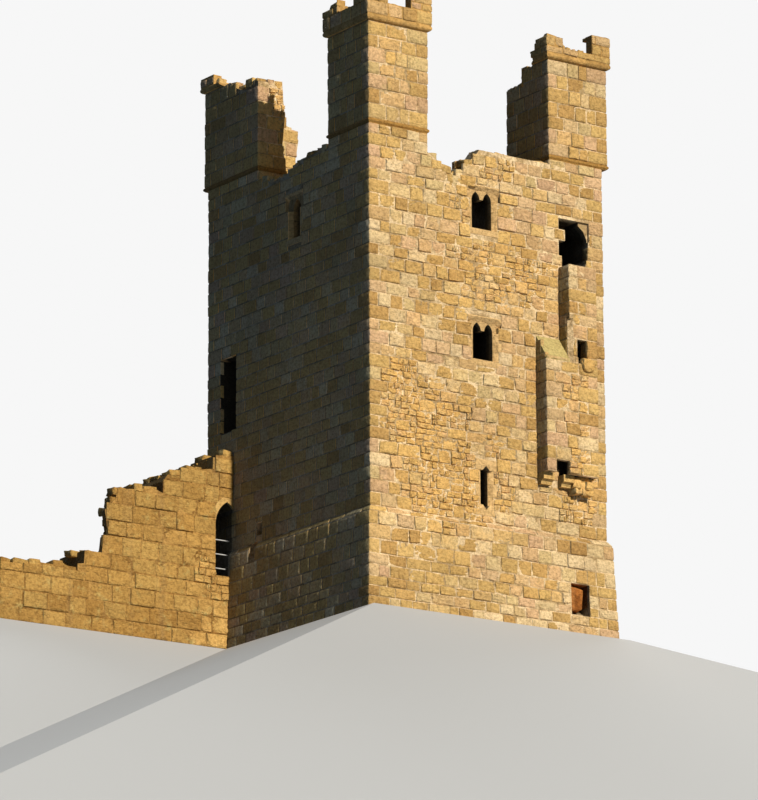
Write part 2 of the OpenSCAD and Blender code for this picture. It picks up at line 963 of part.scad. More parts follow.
module stair_turret_parapet() {
    color(stone)
        translate(stair_at)
            intersection() {
                turret_ring(stair_turret_l, stair_turret_w);
                union() {
                    stair_left_wall();
                    stair_back_wall();
                }
            }
}

module back_turret_stump() {
    t = turret_t + 100;
    color(stone) {
        upright(half - t, half)
            polygon(broken(half, walk_z, turret_w, foot_string_h, [
                [-1, 0], [-1, 0.5], [-0.83, 0.78], [-0.56, 0.82], [-0.47, 1.13], [0, 1.23], [0, 0]
            ]));
        sideways(half - t, half)
            polygon(broken(half, walk_z, turret_w, foot_string_h, [
                [-1, 0], [-1, 0.4], [-0.74, 0.66], [-0.51, 0.95], [0, 1.23], [0, 0]
            ]));
    }
}

// Windows

module upper_window() {
    color(dressed)
        on_front(-window_shift, upper_sill_z) pair_dressing(upper_jamb_h);
}

module middle_window() {
    color(dressed)
        on_front(-window_shift, middle_sill_z) pair_dressing(middle_jamb_h);
}

module slit_window() {
    color(dressed)
        on_front(-window_shift, ground_floor_z + slit_sill_h) slit_dressing();
}

module left_lancet() {
    color(dressed)
        on_left(-side_shift, upper_sill_z) lancet_dressing(upper_jamb_h);
}

module right_windows() {
    color(dressed) {
        on_right(-side_shift, upper_sill_z) lancet_dressing(upper_jamb_h);
        on_right(-side_shift, middle_sill_z) lancet_dressing(middle_jamb_h);
    }
}

module back_windows() {
    color(dressed) {
        on_back(-window_shift, upper_sill_z) pair_dressing(upper_jamb_h);
        on_back(-window_shift, middle_sill_z) pair_dressing(middle_jamb_h);
    }
}

// Curtain wall, its broken top measured from the keep's wall face

curtain_y = half - curtain_t;
ring_x = -half - door_jamb_d;
arch_x = ring_x + door_half_w;
remains_x = -half - curtain_l;

module curtain_slab() {
    difference() {
        upright(curtain_y, half) children();
        keep_mass();
    }
}

// The whole broken outline of the standing part
module curtain_outline() {
    polygon(broken(-half, 0, -curtain_l, curtain_h, [
        [-0.01, 0], [-0.01, 1], [0.115, 0.99], [0.126, 0.918], [0.256, 0.896], [0.318, 0.862],
        [0.428, 0.851], [0.459, 0.813], [0.459, 0.752], [0.498, 0.763], [0.747, 0.739],
        [0.761, 0.689], [0.83, 0.621], [0.809, 0.498], [0.837, 0.486], [0.847, 0.403],
        [0.955, 0.403], [0.959, 0.336], [1, 0.33], [1, 0]
    ]));
}

module doorway_outline() {
    translate([arch_x, door_sill_z])
        light_outline(2 * door_half_w, door_spring_z - door_sill_z, $fn = arch_fn);
}

// Outline of the doorway's arch grown by the depth of its stones
module ring_outline() {
    r = 2 * door_half_w + voussoir_h;
    translate([arch_x, door_spring_z])
        intersection() {
            translate([door_half_w, 0]) circle(r = r, $fn = arch_fn);
            translate([-door_half_w, 0]) circle(r = r, $fn = arch_fn);
            translate([-r, 0]) square([2 * r, r]);
        }
}

module curtain_wall() {
    color(stone)
        curtain_slab()
            intersection() {
                curtain_outline();
                translate([-far, 0]) square([far + ring_x, far]);
            }
}

module curtain_wall_over_doorway() {
    color(stone)
        curtain_slab()
            difference() {
                curtain_outline();
                translate([-far, 0]) square([far + ring_x, far]);
                doorway_outline();
                ring_outline();
            }
}

// Low remains of the wall farther out
module curtain_wall_low() {
    color(stone)
        curtain_slab()
            polygon(broken(remains_x, 0, -low_remains_l, low_remains_h, [
                [0, 0], [0, 0.84], [0.227, 0.84], [0.294, 0.897], [0.613, 0.933], [0.72, 1],
                [1, 0.987], [1, 0]
            ]));
}

module doorway_arch() {
    color(dressed)
        curtain_slab()
            difference() {
                intersection() {
                    ring_outline();
                    translate([ring_x, door_spring_z]) square([far, far]);
                }
                doorway_outline();
            }
}

module doorway_rails() {
    rail_pitch = 465;
    first_rail = 290;
    color("lightgray")
        difference() {
            for (i = [0 : 2])
                translate([ring_x, curtain_y + 250, door_sill_z + first_rail + i * rail_pitch])
                    rotate([0, 90, 0])
                        cylinder(h = door_jamb_d, d = rail_d);
            keep_mass();
        }
}

ground_floor();
front_wall_lower();
front_wall_middle();
front_wall_upper();
left_wall_lower();
left_wall_middle();
left_wall_upper();
right_wall_lower();
right_wall_middle();
right_wall_upper();
back_wall_lower_left();
back_wall_lower_right();
back_wall_over_entrance();
back_wall_middle();
walk_doorway_jamb();
walk_doorway_lintel();
back_wall_upper();
first_floor_beams();
first_floor_boards();
second_floor_beams();
second_floor_boards();
front_parapet();
left_parapet();
back_parapet();
right_parapet();
near_turret();
near_turret_parapet();
right_turret();
right_turret_parapet();
stair_turret();
stair_turret_parapet();
back_turret_stump();
upper_window();
middle_window();
slit_window();
left_lancet();
right_windows();
back_windows();
garderobe_lower_shaft();
garderobe_upper_shaft();
garderobe_cap();
garderobe_corbels();
curtain_wall();
curtain_wall_low();
curtain_wall_over_doorway();
doorway_arch();
doorway_rails();
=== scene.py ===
import math
import random

import bpy
import numpy as np
from mathutils import Matrix, Vector
from mathutils import noise as mathNoise
from mathutils.bvhtree import BVHTree


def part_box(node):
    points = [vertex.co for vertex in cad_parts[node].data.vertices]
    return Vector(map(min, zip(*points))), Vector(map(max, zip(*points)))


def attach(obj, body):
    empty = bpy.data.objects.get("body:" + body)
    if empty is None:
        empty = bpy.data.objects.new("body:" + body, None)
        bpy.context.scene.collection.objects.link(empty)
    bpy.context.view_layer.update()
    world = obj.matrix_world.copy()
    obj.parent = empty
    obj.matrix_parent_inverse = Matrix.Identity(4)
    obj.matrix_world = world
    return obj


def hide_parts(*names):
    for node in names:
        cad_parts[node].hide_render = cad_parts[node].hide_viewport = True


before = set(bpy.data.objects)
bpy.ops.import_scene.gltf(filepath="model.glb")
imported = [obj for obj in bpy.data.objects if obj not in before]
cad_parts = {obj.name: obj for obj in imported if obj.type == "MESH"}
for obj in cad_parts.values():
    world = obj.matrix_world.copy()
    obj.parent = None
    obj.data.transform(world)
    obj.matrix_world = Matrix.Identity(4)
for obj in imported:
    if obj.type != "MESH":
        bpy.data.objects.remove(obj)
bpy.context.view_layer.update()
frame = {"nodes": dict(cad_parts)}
cadNodes = frame["nodes"]


def report(words):
    print("castle keep: " + words)


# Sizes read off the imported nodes, in metres
def high(node):
    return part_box(node)[1]


half = high("front_wall_middle").x
walkZ = high("front_wall_upper").z
plinthFootOut = high("front_wall_lower").x - half
shaftTopZ = high("near_turret").z
merlonTopZ = high("near_turret_parapet").z
secondFloorZ = high("second_floor_boards").z
topRoom = high("second_floor_boards").x

masonry = {
    "plinthHeight": 3.25,
    "weathering": 0.19,
    "plinthOut": 0.13,
    "outletBed": 0.68,
    "outletTop": 1.70,
    "breastHeight": 0.92,
    "turretOver": 0.11,
    "crownFoot": shaftTopZ + 0.21,
    "crownThick": 0.20,
    "parapetThick": 0.60,
    "parapetTop": 15.8,
}
shoulderZ = masonry["plinthHeight"] - masonry["weathering"]
stringLow, stringHigh = walkZ + 1.11, walkZ + 1.24
breastZ = walkZ + masonry["breastHeight"]
walkInside = half - masonry["parapetThick"]


def wallProfile(z):
    # how far the keep's outer face stands out of its upper face at this height
    if z >= masonry["plinthHeight"]:
        return 0.0
    if z > shoulderZ:
        return masonry["plinthOut"] * (masonry["plinthHeight"] - z) / masonry["weathering"]
    return plinthFootOut + (masonry["plinthOut"] - plinthFootOut) * z / shoulderZ


def flatProfile(z):
    return 0.0


# No wall stones are laid on the floors, the dressed stones and the rails
floorNodes = {
    "first_floor_beams", "first_floor_boards", "second_floor_beams", "second_floor_boards",
}
bareNodes = floorNodes | {
    "upper_window", "middle_window", "slit_window", "left_lancet", "right_windows", "back_windows",
    "doorway_arch", "garderobe_corbels", "doorway_rails",
}


def wallTree(solids):
    # rays cast at this tree tell where a wall is whole and whose it is
    corners = []
    faces = []
    owner = []
    for name, node in solids.items():
        start = len(corners)
        corners.extend(node.matrix_world @ vert.co for vert in node.data.vertices)
        for face in node.data.polygons:
            faces.append([start + i for i in face.vertices])
            owner.append(name)
    return BVHTree.FromPolygons(corners, faces), owner


# Master stones: each is cut once and copied many times

wallStone = {
    "size": (0.60, 0.40, 0.12),
    "edge": 0.018,
    "cuts": 5,
    # first seed, how many, wear, chips of each and chips more on every second one
    "crisp": (0, 8, 0.014, 0, 1),
    "rough": (20, 8, 0.030, 1, 1),
    "calm": (40, 4, 0.004, 0, 0),
    "deepest": 0.008,
    "rim": 0.03,
    "chipIn": (0.01, 0.03),
    "chipDown": (0.02, 0.045),
    "chipReach": 0.10,
}
quoinStone = {
    "size": (0.60, 0.40, 0.40),
    "edge": 0.020,
    "wear": 0.007,
    "masters": 6,
    "seed": 30,
    "long": (0.55, 0.80),
    "short": (0.30, 0.42),
    "proud": (0.012, 0.030),
    "inward": 0.12,
    "snap": 0.16,
}
rubbleStone = {
    "size": 0.30,
    "edge": 0.024,
    "wear": 0.022,
    "masters": 8,
    "seed": 60,
    "turn": 0.25,
    "tilt": 0.18,
}
courses = {
    "joint": 0.028,
    "wornJoint": 0.020,
    "cell": 0.04,
    "proud": (0.009, 0.026),
    "boldProud": (0.034, 0.052),
    "boldShare": 0.20,
    "shadyProud": (0.006, 0.013),
    "slopeProud": 0.010,
    "slopeHeight": 0.22,
    "wholeColumn": 0.45,
    "wholeRow": 0.4,
    "shortestRun": 0.12,
    "smallest": 0.05,
    "lean": 0.010,
    "twist": 0.008,
    "turn": 0.012,
}
crumbs = {
    "over": 0.66,
    "share": 0.75,
    "course": 0.25,
    "twoRows": 0.5,
    "size": 0.26,
    "spread": (0.6, 1.6),
    "smallest": 0.12,
    "joint": 0.012,
    "proud": (0.0, 0.060),
}

# Lowest and highest course, then shortest, usual and longest stone
masonryStyles = {
    "keep": (0.34, 0.46, 0.34, 0.52, 0.82),
    "turret": (0.38, 0.48, 0.42, 0.62, 0.92),
    "shaft": (0.34, 0.46, 0.40, 0.62, 0.95),
    "curtain": (0.44, 0.60, 0.50, 0.75, 1.05),
    "inner": (0.30, 0.42, 0.34, 0.50, 0.80),
    "paving": (0.42, 0.62, 0.45, 0.70, 1.00),
    "weathering": (0.19, 0.19, 0.60, 0.90, 1.25),
}

dice = random.Random(41)


def eitherWay(most):
    return dice.uniform(-most, most)


def freshCube(size, at=(0, 0, 0)):
    bpy.ops.object.select_all(action="DESELECT")
    bpy.ops.mesh.primitive_cube_add(size=1, location=at)
    cube = bpy.context.object
    cube.scale = size
    bpy.ops.object.transform_apply(location=True, rotation=True, scale=True)
    return cube


def editAll():
    bpy.ops.object.mode_set(mode="EDIT")
    bpy.ops.mesh.select_all(action="SELECT")


def editSelected(cube, wanted):
    # edit mode with only the wanted faces selected
    bpy.ops.object.mode_set(mode="OBJECT")
    for part in (*cube.data.vertices, *cube.data.edges):
        part.select = False
    for face in cube.data.polygons:
        face.select = wanted(face)
    bpy.ops.object.mode_set(mode="EDIT")
    bpy.ops.mesh.select_mode(type="FACE")


def bevelEdges(width):
    bpy.ops.mesh.bevel(offset=width, segments=1, affect="EDGES")


def roughen(offset, seed, normal=0.0, uniform=0.0):
    bpy.ops.transform.vertex_random(offset=offset, uniform=uniform, normal=normal, seed=seed)


# The curtain wall's rear has fallen back further than its face at the high end

curtainBreak = {
    "front": (-9.10, 3.27),
    "rear": (-8.25, 4.65),
    "past": -9.95,
    "levels": (2.57, 5.20),
    "cuts": 7,
    "rough": 0.07,
    "seed": 77,
}


def mergedCopy(node, name):
    # a copy of a node's mesh, made whole from its loose triangles, that stands in its place
    piece = bpy.data.objects.new(name, cadNodes[node].data.copy())
    piece.matrix_world = cadNodes[node].matrix_world
    bpy.context.collection.objects.link(piece)
    bpy.ops.object.select_all(action="DESELECT")
    bpy.context.view_layer.objects.active = piece
    piece.select_set(True)
    editAll()
    bpy.ops.mesh.remove_doubles(threshold=0.0001)
    bpy.ops.object.mode_set(mode="OBJECT")
    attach(piece, "root")
    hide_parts(node)
    return piece


def breakBack(node):
    front, rear = curtainBreak["front"], curtainBreak["rear"]
    lowest, highest = curtainBreak["levels"]
    past = curtainBreak["past"]
    across = (rear[1] - front[1], front[0] - rear[0], 0)
    size = (rear[0] - past, rear[1] - front[1], highest - lowest)
    middle = ((past + rear[0]) / 2, (front[1] + rear[1]) / 2, (lowest + highest) / 2)
    fallen = freshCube(size, middle)
    editAll()
    bpy.ops.mesh.bisect(plane_co=(*front, 0), plane_no=across, use_fill=True, clear_outer=True)
    editSelected(fallen, lambda face: face.normal.x > 0.5 and abs(face.normal.z) < 0.1)
    bpy.ops.mesh.subdivide(number_cuts=curtainBreak["cuts"])
    roughen(curtainBreak["rough"], curtainBreak["seed"])
    bpy.ops.object.mode_set(mode="OBJECT")
    piece = mergedCopy(node, "brokenCurtainWall")
    cut = piece.modifiers.new("fallenRear", "BOOLEAN")
    cut.operation = "DIFFERENCE"
    cut.solver = "EXACT"
    cut.use_self = True
    cut.object = fallen
    bpy.ops.object.modifier_apply(modifier=cut.name)
    bpy.data.objects.remove(fallen)
    return piece


# The low remains lose height towards their far end

lowRemains = {
    "past": -11.1,
    "above": 1.88,
    "farTop": 1.80,
    "slope": 0.06,
}


def wearDown(node):
    piece = mergedCopy(node, "wornLowRemains")
    far = min(vert.co.x for vert in piece.data.vertices)
    for vert in piece.data.vertices:
        if vert.co.x < lowRemains["past"] and vert.co.z > lowRemains["above"]:
            vert.co.z = lowRemains["farTop"] + (vert.co.x - far) * lowRemains["slope"]
    return piece


wornPieces = {
    "curtain_wall": breakBack("curtain_wall"),
    "curtain_wall_low": wearDown("curtain_wall_low"),
}
tree, faceOwner = wallTree({**cadNodes, **wornPieces})
report("ray tree over %d faces" % len(faceOwner))


def finishMaster(stone, name, angle, deepest=None):
    bpy.ops.object.mode_set(mode="OBJECT")
    bpy.ops.object.shade_smooth_by_angle(angle=math.radians(angle))
    stone.name = name
    mesh = stone.data
    coords = np.empty(len(mesh.vertices) * 3)
    mesh.vertices.foreach_get("co", coords)
    coords = coords.reshape(-1, 3)
    if deepest is not None:
        # the face inside its worn rim sinks no further than this
        length, depth = wallStone["size"][0], wallStone["size"][2]
        face = (abs(coords[:, 0]) < length / 2 - wallStone["rim"]) & (coords[:, 2] > -depth * 0.7)
        coords[face, 2] = np.maximum(coords[face, 2], -deepest)
    bpy.data.objects.remove(stone)
    return mesh, coords


def cutWallStone(number, wear, chips):
    # lies on its back: length along X, height along Y, face up
    roll = random.Random(number)
    stone = freshCube(wallStone["size"], (0, 0, -wallStone["size"][2] / 2))
    editSelected(stone, lambda face: face.normal.z > 0.9)
    bevelEdges(wallStone["edge"])
    editSelected(stone, lambda face: face.normal.z > 0.9)
    bpy.ops.mesh.subdivide(number_cuts=wallStone["cuts"])
    roughen(wear, number, 0.5, 0.35)
    inward, down = wallStone["chipIn"], wallStone["chipDown"]
    for chip in range(chips):
        side = roll.choice((-1, 1))
        end = roll.choice((-1, 1))
        editSelected(stone, lambda face: face.normal.z > 0.7 and face.center.x * side > 0.17
                     and face.center.y * end > 0.1)
        push = (-side * roll.uniform(*inward), -end * roll.uniform(*inward), -roll.uniform(*down))
        bpy.ops.transform.translate(
            value=push, use_proportional_edit=True, proportional_size=wallStone["chipReach"])
    return finishMaster(stone, "wallStone%d" % number, 50, wallStone["deepest"])


def cutQuoin(number):
    stone = freshCube(quoinStone["size"])
    editAll()
    bevelEdges(quoinStone["edge"])
    editSelected(stone, lambda face: face.area > 0.05 and abs(face.normal.z) < 0.5)
    bpy.ops.mesh.subdivide(number_cuts=2)
    roughen(quoinStone["wear"], number + quoinStone["seed"], 0.5)
    return finishMaster(stone, "quoin%d" % number, 50)


def cutRubble(number):
    roll = random.Random(number)
    stone = freshCube([rubbleStone["size"] * roll.uniform(0.8, 1.2) for axis in "XYZ"])
    editAll()
    bevelEdges(rubbleStone["edge"])
    editSelected(stone, lambda face: face.area > 0.02)
    bpy.ops.mesh.subdivide(number_cuts=1)
    bpy.ops.mesh.select_all(action="SELECT")
    roughen(rubbleStone["wear"], number + rubbleStone["seed"], 0.3)
    return finishMaster(stone, "rubble%d" % number, 60)


def cutBoulder():
    # a stone of one metre that the weather has rounded
    stone = freshCube((1, 1, 1))
    editAll()
    bpy.ops.mesh.subdivide(number_cuts=4)
    bpy.ops.transform.tosphere(value=0.62)
    roughen(0.05, 91, 0.5)
    return finishMaster(stone, "boulder", 60)


def cutBoard():
    # a board of one metre, its ends along X
    board = freshCube((1, 1, 1))
    editAll()
    bpy.ops.mesh.subdivide(number_cuts=3)
    roughen(0.006, 92)
    return finishMaster(board, "board", 40)


def cutWallStones(kind):
    first, count, wear, chips, more = wallStone[kind]
    return [cutWallStone(first + i, wear, chips + more * (i % 2)) for i in range(count)]


crispMasters, roughMasters, calmMasters = (
    cutWallStones(kind) for kind in ("crisp", "rough", "calm"))
quoinMasters = [cutQuoin(i) for i in range(quoinStone["masters"])]
rubbleMasters = [cutRubble(i) for i in range(rubbleStone["masters"])]
report("stones cut")


def stretched(coords, base, size, margin=0.05):
    # keeps the worn edges at their own width and stretches only the middle
    out = coords.copy()
    for axis in range(len(base)):
        if size[axis] < 2.4 * margin:
            out[:, axis] *= size[axis] / base[axis]
            continue
        inner = base[axis] / 2 - margin
        grow = (size[axis] - base[axis]) / 2
        place = coords[:, axis]
        middle = place * (inner + grow) / inner
        out[:, axis] = np.where(abs(place) > inner, place + np.sign(place) * grow, middle)
    return out


class StonePile:
    # collects copies of the master stones and joins them into one piece
    def __init__(self, name):
        self.name = name
        self.copies = []

    def add(self, master, coords, worn=0.0):
        mesh = master.copy()
        mesh.vertices.foreach_set("co", np.ascontiguousarray(coords, dtype=np.float32).ravel())
        tint = mesh.attributes.new("stoneTint", "FLOAT_COLOR", "POINT")
        shade = (dice.random(), dice.random(), worn, 1.0)
        tint.data.foreach_set("color", shade * len(mesh.vertices))
        stone = bpy.data.objects.new(self.name, mesh)
        bpy.context.collection.objects.link(stone)
        self.copies.append(stone)

    def join(self, material, slotName="wall_sandstone"):
        bpy.ops.object.select_all(action="DESELECT")
        for stone in self.copies:
            stone.select_set(True)
        piece = self.copies[0]
        bpy.context.view_layer.objects.active = piece
        bpy.ops.object.join()
        piece.name = self.name
        piece.data.name = self.name
        piece.data.materials.clear()
        piece.data.materials.append(material)
        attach(piece, "root")
        report("%s: %d stones, %d faces" % (self.name, len(self.copies), len(piece.data.polygons)))
        return piece


# A face is a plane to be dressed: a corner point, its directions and its levels

def upFace(at, normal, span, levels, style="keep", profile=flatProfile):
    # an upright face whose V direction is Z
    normal = Vector(normal)
    along = Vector((0, 0, 1)).cross(normal)
    return {"at": Vector(at), "u": along, "v": Vector((0, 0, 1)), "n": normal,
            "span": span, "levels": levels, "style": style, "profile": profile}


def topFace(x0, x1, y0, y1, z, style="paving"):
    # a level face seen from above, its courses along X
    return {"at": Vector((0, 0, z)), "span": (x0, x1), "levels": courseLevels(y0, y1, style),
            "u": Vector((1, 0, 0)), "v": Vector((0, 1, 0)), "n": Vector((0, 0, 1)),
            "style": style, "profile": flatProfile}


def courseLevels(start, end, style="keep"):
    lowest, highest = masonryStyles[style][:2]
    count = max(1, round((end - start) * 2 / (lowest + highest)))
    heights = [dice.uniform(lowest, highest) for i in range(count)]
    grow = (end - start) / sum(heights)
    levels = [start]
    for height in heights:
        levels.append(levels[-1] + height * grow)
    return levels


# How far the weather has eaten into the masonry, most of all in the front's right part
wearing = {
    "base": 0.25,
    "broad": 0.85,
    "broadScale": 0.33,
    "fine": 0.35,
    "fineScale": 1.1,
    "front": 0.22,
    "frontRight": 0.55,
    "rightFrom": 2.9,
    "levels": (3.5, 12.0),
}


def wear(place):
    # 0 where the masonry is sound, 1 where it is eaten away
    broad = mathNoise.noise(place * wearing["broadScale"] + Vector((7.3, 1.9, 4.1)))
    fine = mathNoise.noise(place * wearing["fineScale"])
    lift = 0.0
    if place.y < -half + 0.3 and wearing["levels"][0] < place.z < wearing["levels"][1]:
        lift = wearing["frontRight" if place.x > wearing["rightFrom"] else "front"]
    share = wearing["base"] + lift + wearing["broad"] * broad + wearing["fine"] * fine
    return max(0.0, min(1.0, share))


probe = {
    "before": 0.06,
    "reach": 0.10,
    "near": 0.03,
    "square": 0.75,
    "air": 0.5,
}


def exposed(face, u, v):
    # true where the ray meets bare wall just at the face, with free air before it
    out = face["profile"](v) + probe["before"]
    start = face["at"] + face["u"] * u + face["v"] * v + face["n"] * out
    hit, normal, index, distance = tree.ray_cast(start, -face["n"], probe["reach"])
    if hit is None or abs(distance - probe["before"]) > probe["near"]:
        return False
    if normal.dot(face["n"]) < probe["square"] or faceOwner[index] in bareNodes:
        return False
    return tree.ray_cast(start, face["n"], probe["air"])[0] is None


def solidMask(face):
    cell = courses["cell"]
    spanStart, spanEnd = face["span"]
    uCells = np.arange(spanStart + cell / 2, spanEnd, cell)
    vCells = np.arange(face["levels"][0] + cell / 2, face["levels"][-1], cell)
    mask = np.zeros((len(vCells), len(uCells)), dtype=bool)
    for row, v in enumerate(vCells):
        for column, u in enumerate(uCells):
            mask[row, column] = exposed(face, u, v)
    return mask, uCells, vCells


def runsOf(flags):
    runs = []
    start = None
    for i, flag in enumerate(list(flags) + [False]):
        if flag and start is None:
            start = i
        if not flag and start is not None:
            runs.append((start, i - 1))
            start = None
    return runs


bond = {
    "near": 0.08,
    "shift": 0.14,
    "long": 0.85,
    "halves": (0.4, 0.6),
}


def stoneEnds(length, earlier, start, shortest, usual, longest):
    # random lengths that fill a run and keep clear of the joints in the course below
    ends = []
    place = 0.0
    while length - place > longest:
        step = dice.triangular(shortest, longest, usual)
        if any(abs(start + place + step - joint) < bond["near"] for joint in earlier):
            step += bond["shift"]
        if length - place - step < shortest:
            step = (length - place) / 2
        place += step
        ends.append(place)
    if length - place > longest * bond["long"]:
        ends.append(place + (length - place) * dice.uniform(*bond["halves"]))
    ends.append(length)
    return ends


def layStone(pile, face, ua, ub, va, vb, whole=True):
    middle = face["at"] + face["u"] * ((ua + ub) / 2) + face["v"] * ((va + vb) / 2)
    worn = wear(middle)
    shady = face["n"].x < -0.5
    crumbling = whole and worn > crumbs["over"] and vb - va > crumbs["course"] and not shady
    if crumbling and dice.random() < crumbs["share"]:
        layCrumbs(pile, face, ua, ub, va, vb)
        return
    rough = dice.random() < worn * 1.3 and not shady
    joint = courses["joint"] + (courses["wornJoint"] * dice.random() if rough else 0.0)
    if not whole:
        joint = crumbs["joint"]
    length = ub - ua - joint
    height = vb - va - joint
    if min(length, height) < courses["smallest"]:
        return
    masters = calmMasters if shady else roughMasters if rough else crispMasters
    master, coords = dice.choice(masters)
    bold = dice.random() < courses["boldShare"]
    proud = dice.uniform(*courses["boldProud" if bold else "proud"])
    if shady:
        proud = dice.uniform(*courses["shadyProud"])
    elif not whole:
        proud = dice.uniform(*crumbs["proud"])
    elif vb - va < courses["slopeHeight"]:
        proud = courses["slopeProud"]
    shape = stretched(coords, wallStone["size"][:2], (length, height))
    if dice.random() < 0.5:
        shape[:, :2] *= -1
    sway = 0.2 if shady else 1 + worn
    lean = eitherWay(courses["lean"]) * sway
    twist = eitherWay(courses["twist"]) * sway
    turn = eitherWay(courses["turn"]) * (1 + 2 * worn) * min(1.0, 0.4 / length)
    u = shape[:, 0] - turn * shape[:, 1] + (ua + ub) / 2
    v = shape[:, 1] + turn * shape[:, 0] + (va + vb) / 2
    profile = np.array([face["profile"](z) for z in v])
    n = shape[:, 2] + proud + profile + lean * shape[:, 1] / 0.2 + twist * shape[:, 0] / 0.3
    place = np.array(face["at"])
    for reach, axis in ((u, "u"), (v, "v"), (n, "n")):
        place = place + np.outer(reach, face[axis])
    pile.add(master, place, worn)


def layCrumbs(pile, face, ua, ub, va, vb):
    # a stone that the weather has split into small uneven lumps
    rows = 2 if vb - va < crumbs["twoRows"] else 3
    height = (vb - va) / rows
    for row in range(rows):
        start = va + row * height
        place = ua
        while ub - place > 0.02:
            step = crumbs["size"] * dice.uniform(*crumbs["spread"])
            if ub - place - step < crumbs["smallest"]:
                step = ub - place
            layStone(pile, face, place, place + step, start, start + height, False)
            place += step


def looseBlock(sizes):
    # a block of random size, turned and tilted a little
    size = [dice.uniform(*span) for span in sizes]
    master, coords = dice.choice(rubbleMasters)
    shape = coords * np.array(size) / rubbleStone["size"]
    turn = dice.choice((0, 1)) * math.pi / 2 + eitherWay(rubbleStone["turn"])
    turn = Matrix.Rotation(turn, 3, "Z")
    sideways, forwards = (Matrix.Rotation(eitherWay(rubbleStone["tilt"]), 3, axis) for axis in "XY")
    return master, shape @ np.array(turn @ (sideways @ forwards)).T


# The ways of the two drains through the left wall: y from and to, z from and to
drains = {
    "ways": ((1.45, 1.78, 3.48, 3.90), (1.68, 2.00, 2.75, 3.30)),
    "sideLap": 0.02,
    "levelLap": 0.06,
    "smallest": 0.08,
}


def besideDrains(face, place, stop, bottom, top):
    # the parts of a left wall stone that leave a drain open, or None where it covers none
    if face["n"].x > -0.9:
        return None
    side, level, smallest = (drains[key] for key in ("sideLap", "levelLap", "smallest"))
    for y0, y1, lowest, highest in drains["ways"]:
        first, last = sorted((y - face["at"].y) * face["u"].y for y in (y0, y1))
        beside = place >= last - side or stop <= first + side
        if beside or bottom >= highest - level or top <= lowest + level:
            continue
        near, far = max(place, first), min(stop, last)
        around = ((place, first, bottom, top), (last, stop, bottom, top),
                  (near, far, bottom, lowest), (near, far, highest, top))
        return [part for part in around if min(part[1] - part[0], part[3] - part[2]) > smallest]
    return None


def layBesideDrains(pile, face, *extent):
    parts = besideDrains(face, *extent)
    if parts is None:
        layStone(pile, face, *extent)
        return
    # the draws of the stone that isn't laid are still made, so the others stay as they are
    spare = StonePile("spareStone")
    layStone(spare, face, *extent)
    for stone in spare.copies:
        bpy.data.objects.remove(stone)
    after = dice.getstate()
    for part in parts:
        layStone(pile, face, *part)
    dice.setstate(after)


def dressFace(pile, face, corners=()):
    mask, uCells, vCells = solidMask(face)
    cell = courses["cell"]
    earlier = []
    for number in range(len(face["levels"]) - 1):
        va, vb = face["levels"][number:number + 2]
        rows = np.where((vCells > va) & (vCells < vb))[0]
        if len(rows) == 0:
            continue
        style = "weathering" if vb - va < courses["slopeHeight"] else face["style"]
        columns = mask[rows].mean(axis=0) > courses["wholeColumn"]
        joints = []
        for first, last in runsOf(columns):
            start = uCells[first] - cell / 2
            end = uCells[last] + cell / 2
            for corner in corners:
                start, end = corner.trimmed(face, number, start, end)
            if end - start < courses["shortestRun"]:
                continue
            place = start
            for stop in stoneEnds(end - start, earlier, start, *masonryStyles[style][2:]):
                stop += start
                part = (uCells > place) & (uCells < stop)
                filled = mask[np.ix_(rows, np.where(part)[0])].mean(axis=1) > courses["wholeRow"]
                kept = rows[filled]
                if len(kept):
                    bottom = va if kept[0] == rows[0] else vCells[kept[0]] - cell / 2
                    top = vb if kept[-1] == rows[-1] else vCells[kept[-1]] + cell / 2
                    layBesideDrains(pile, face, place, stop, bottom, top)
                joints.append(stop)
                place = stop
        earlier = joints


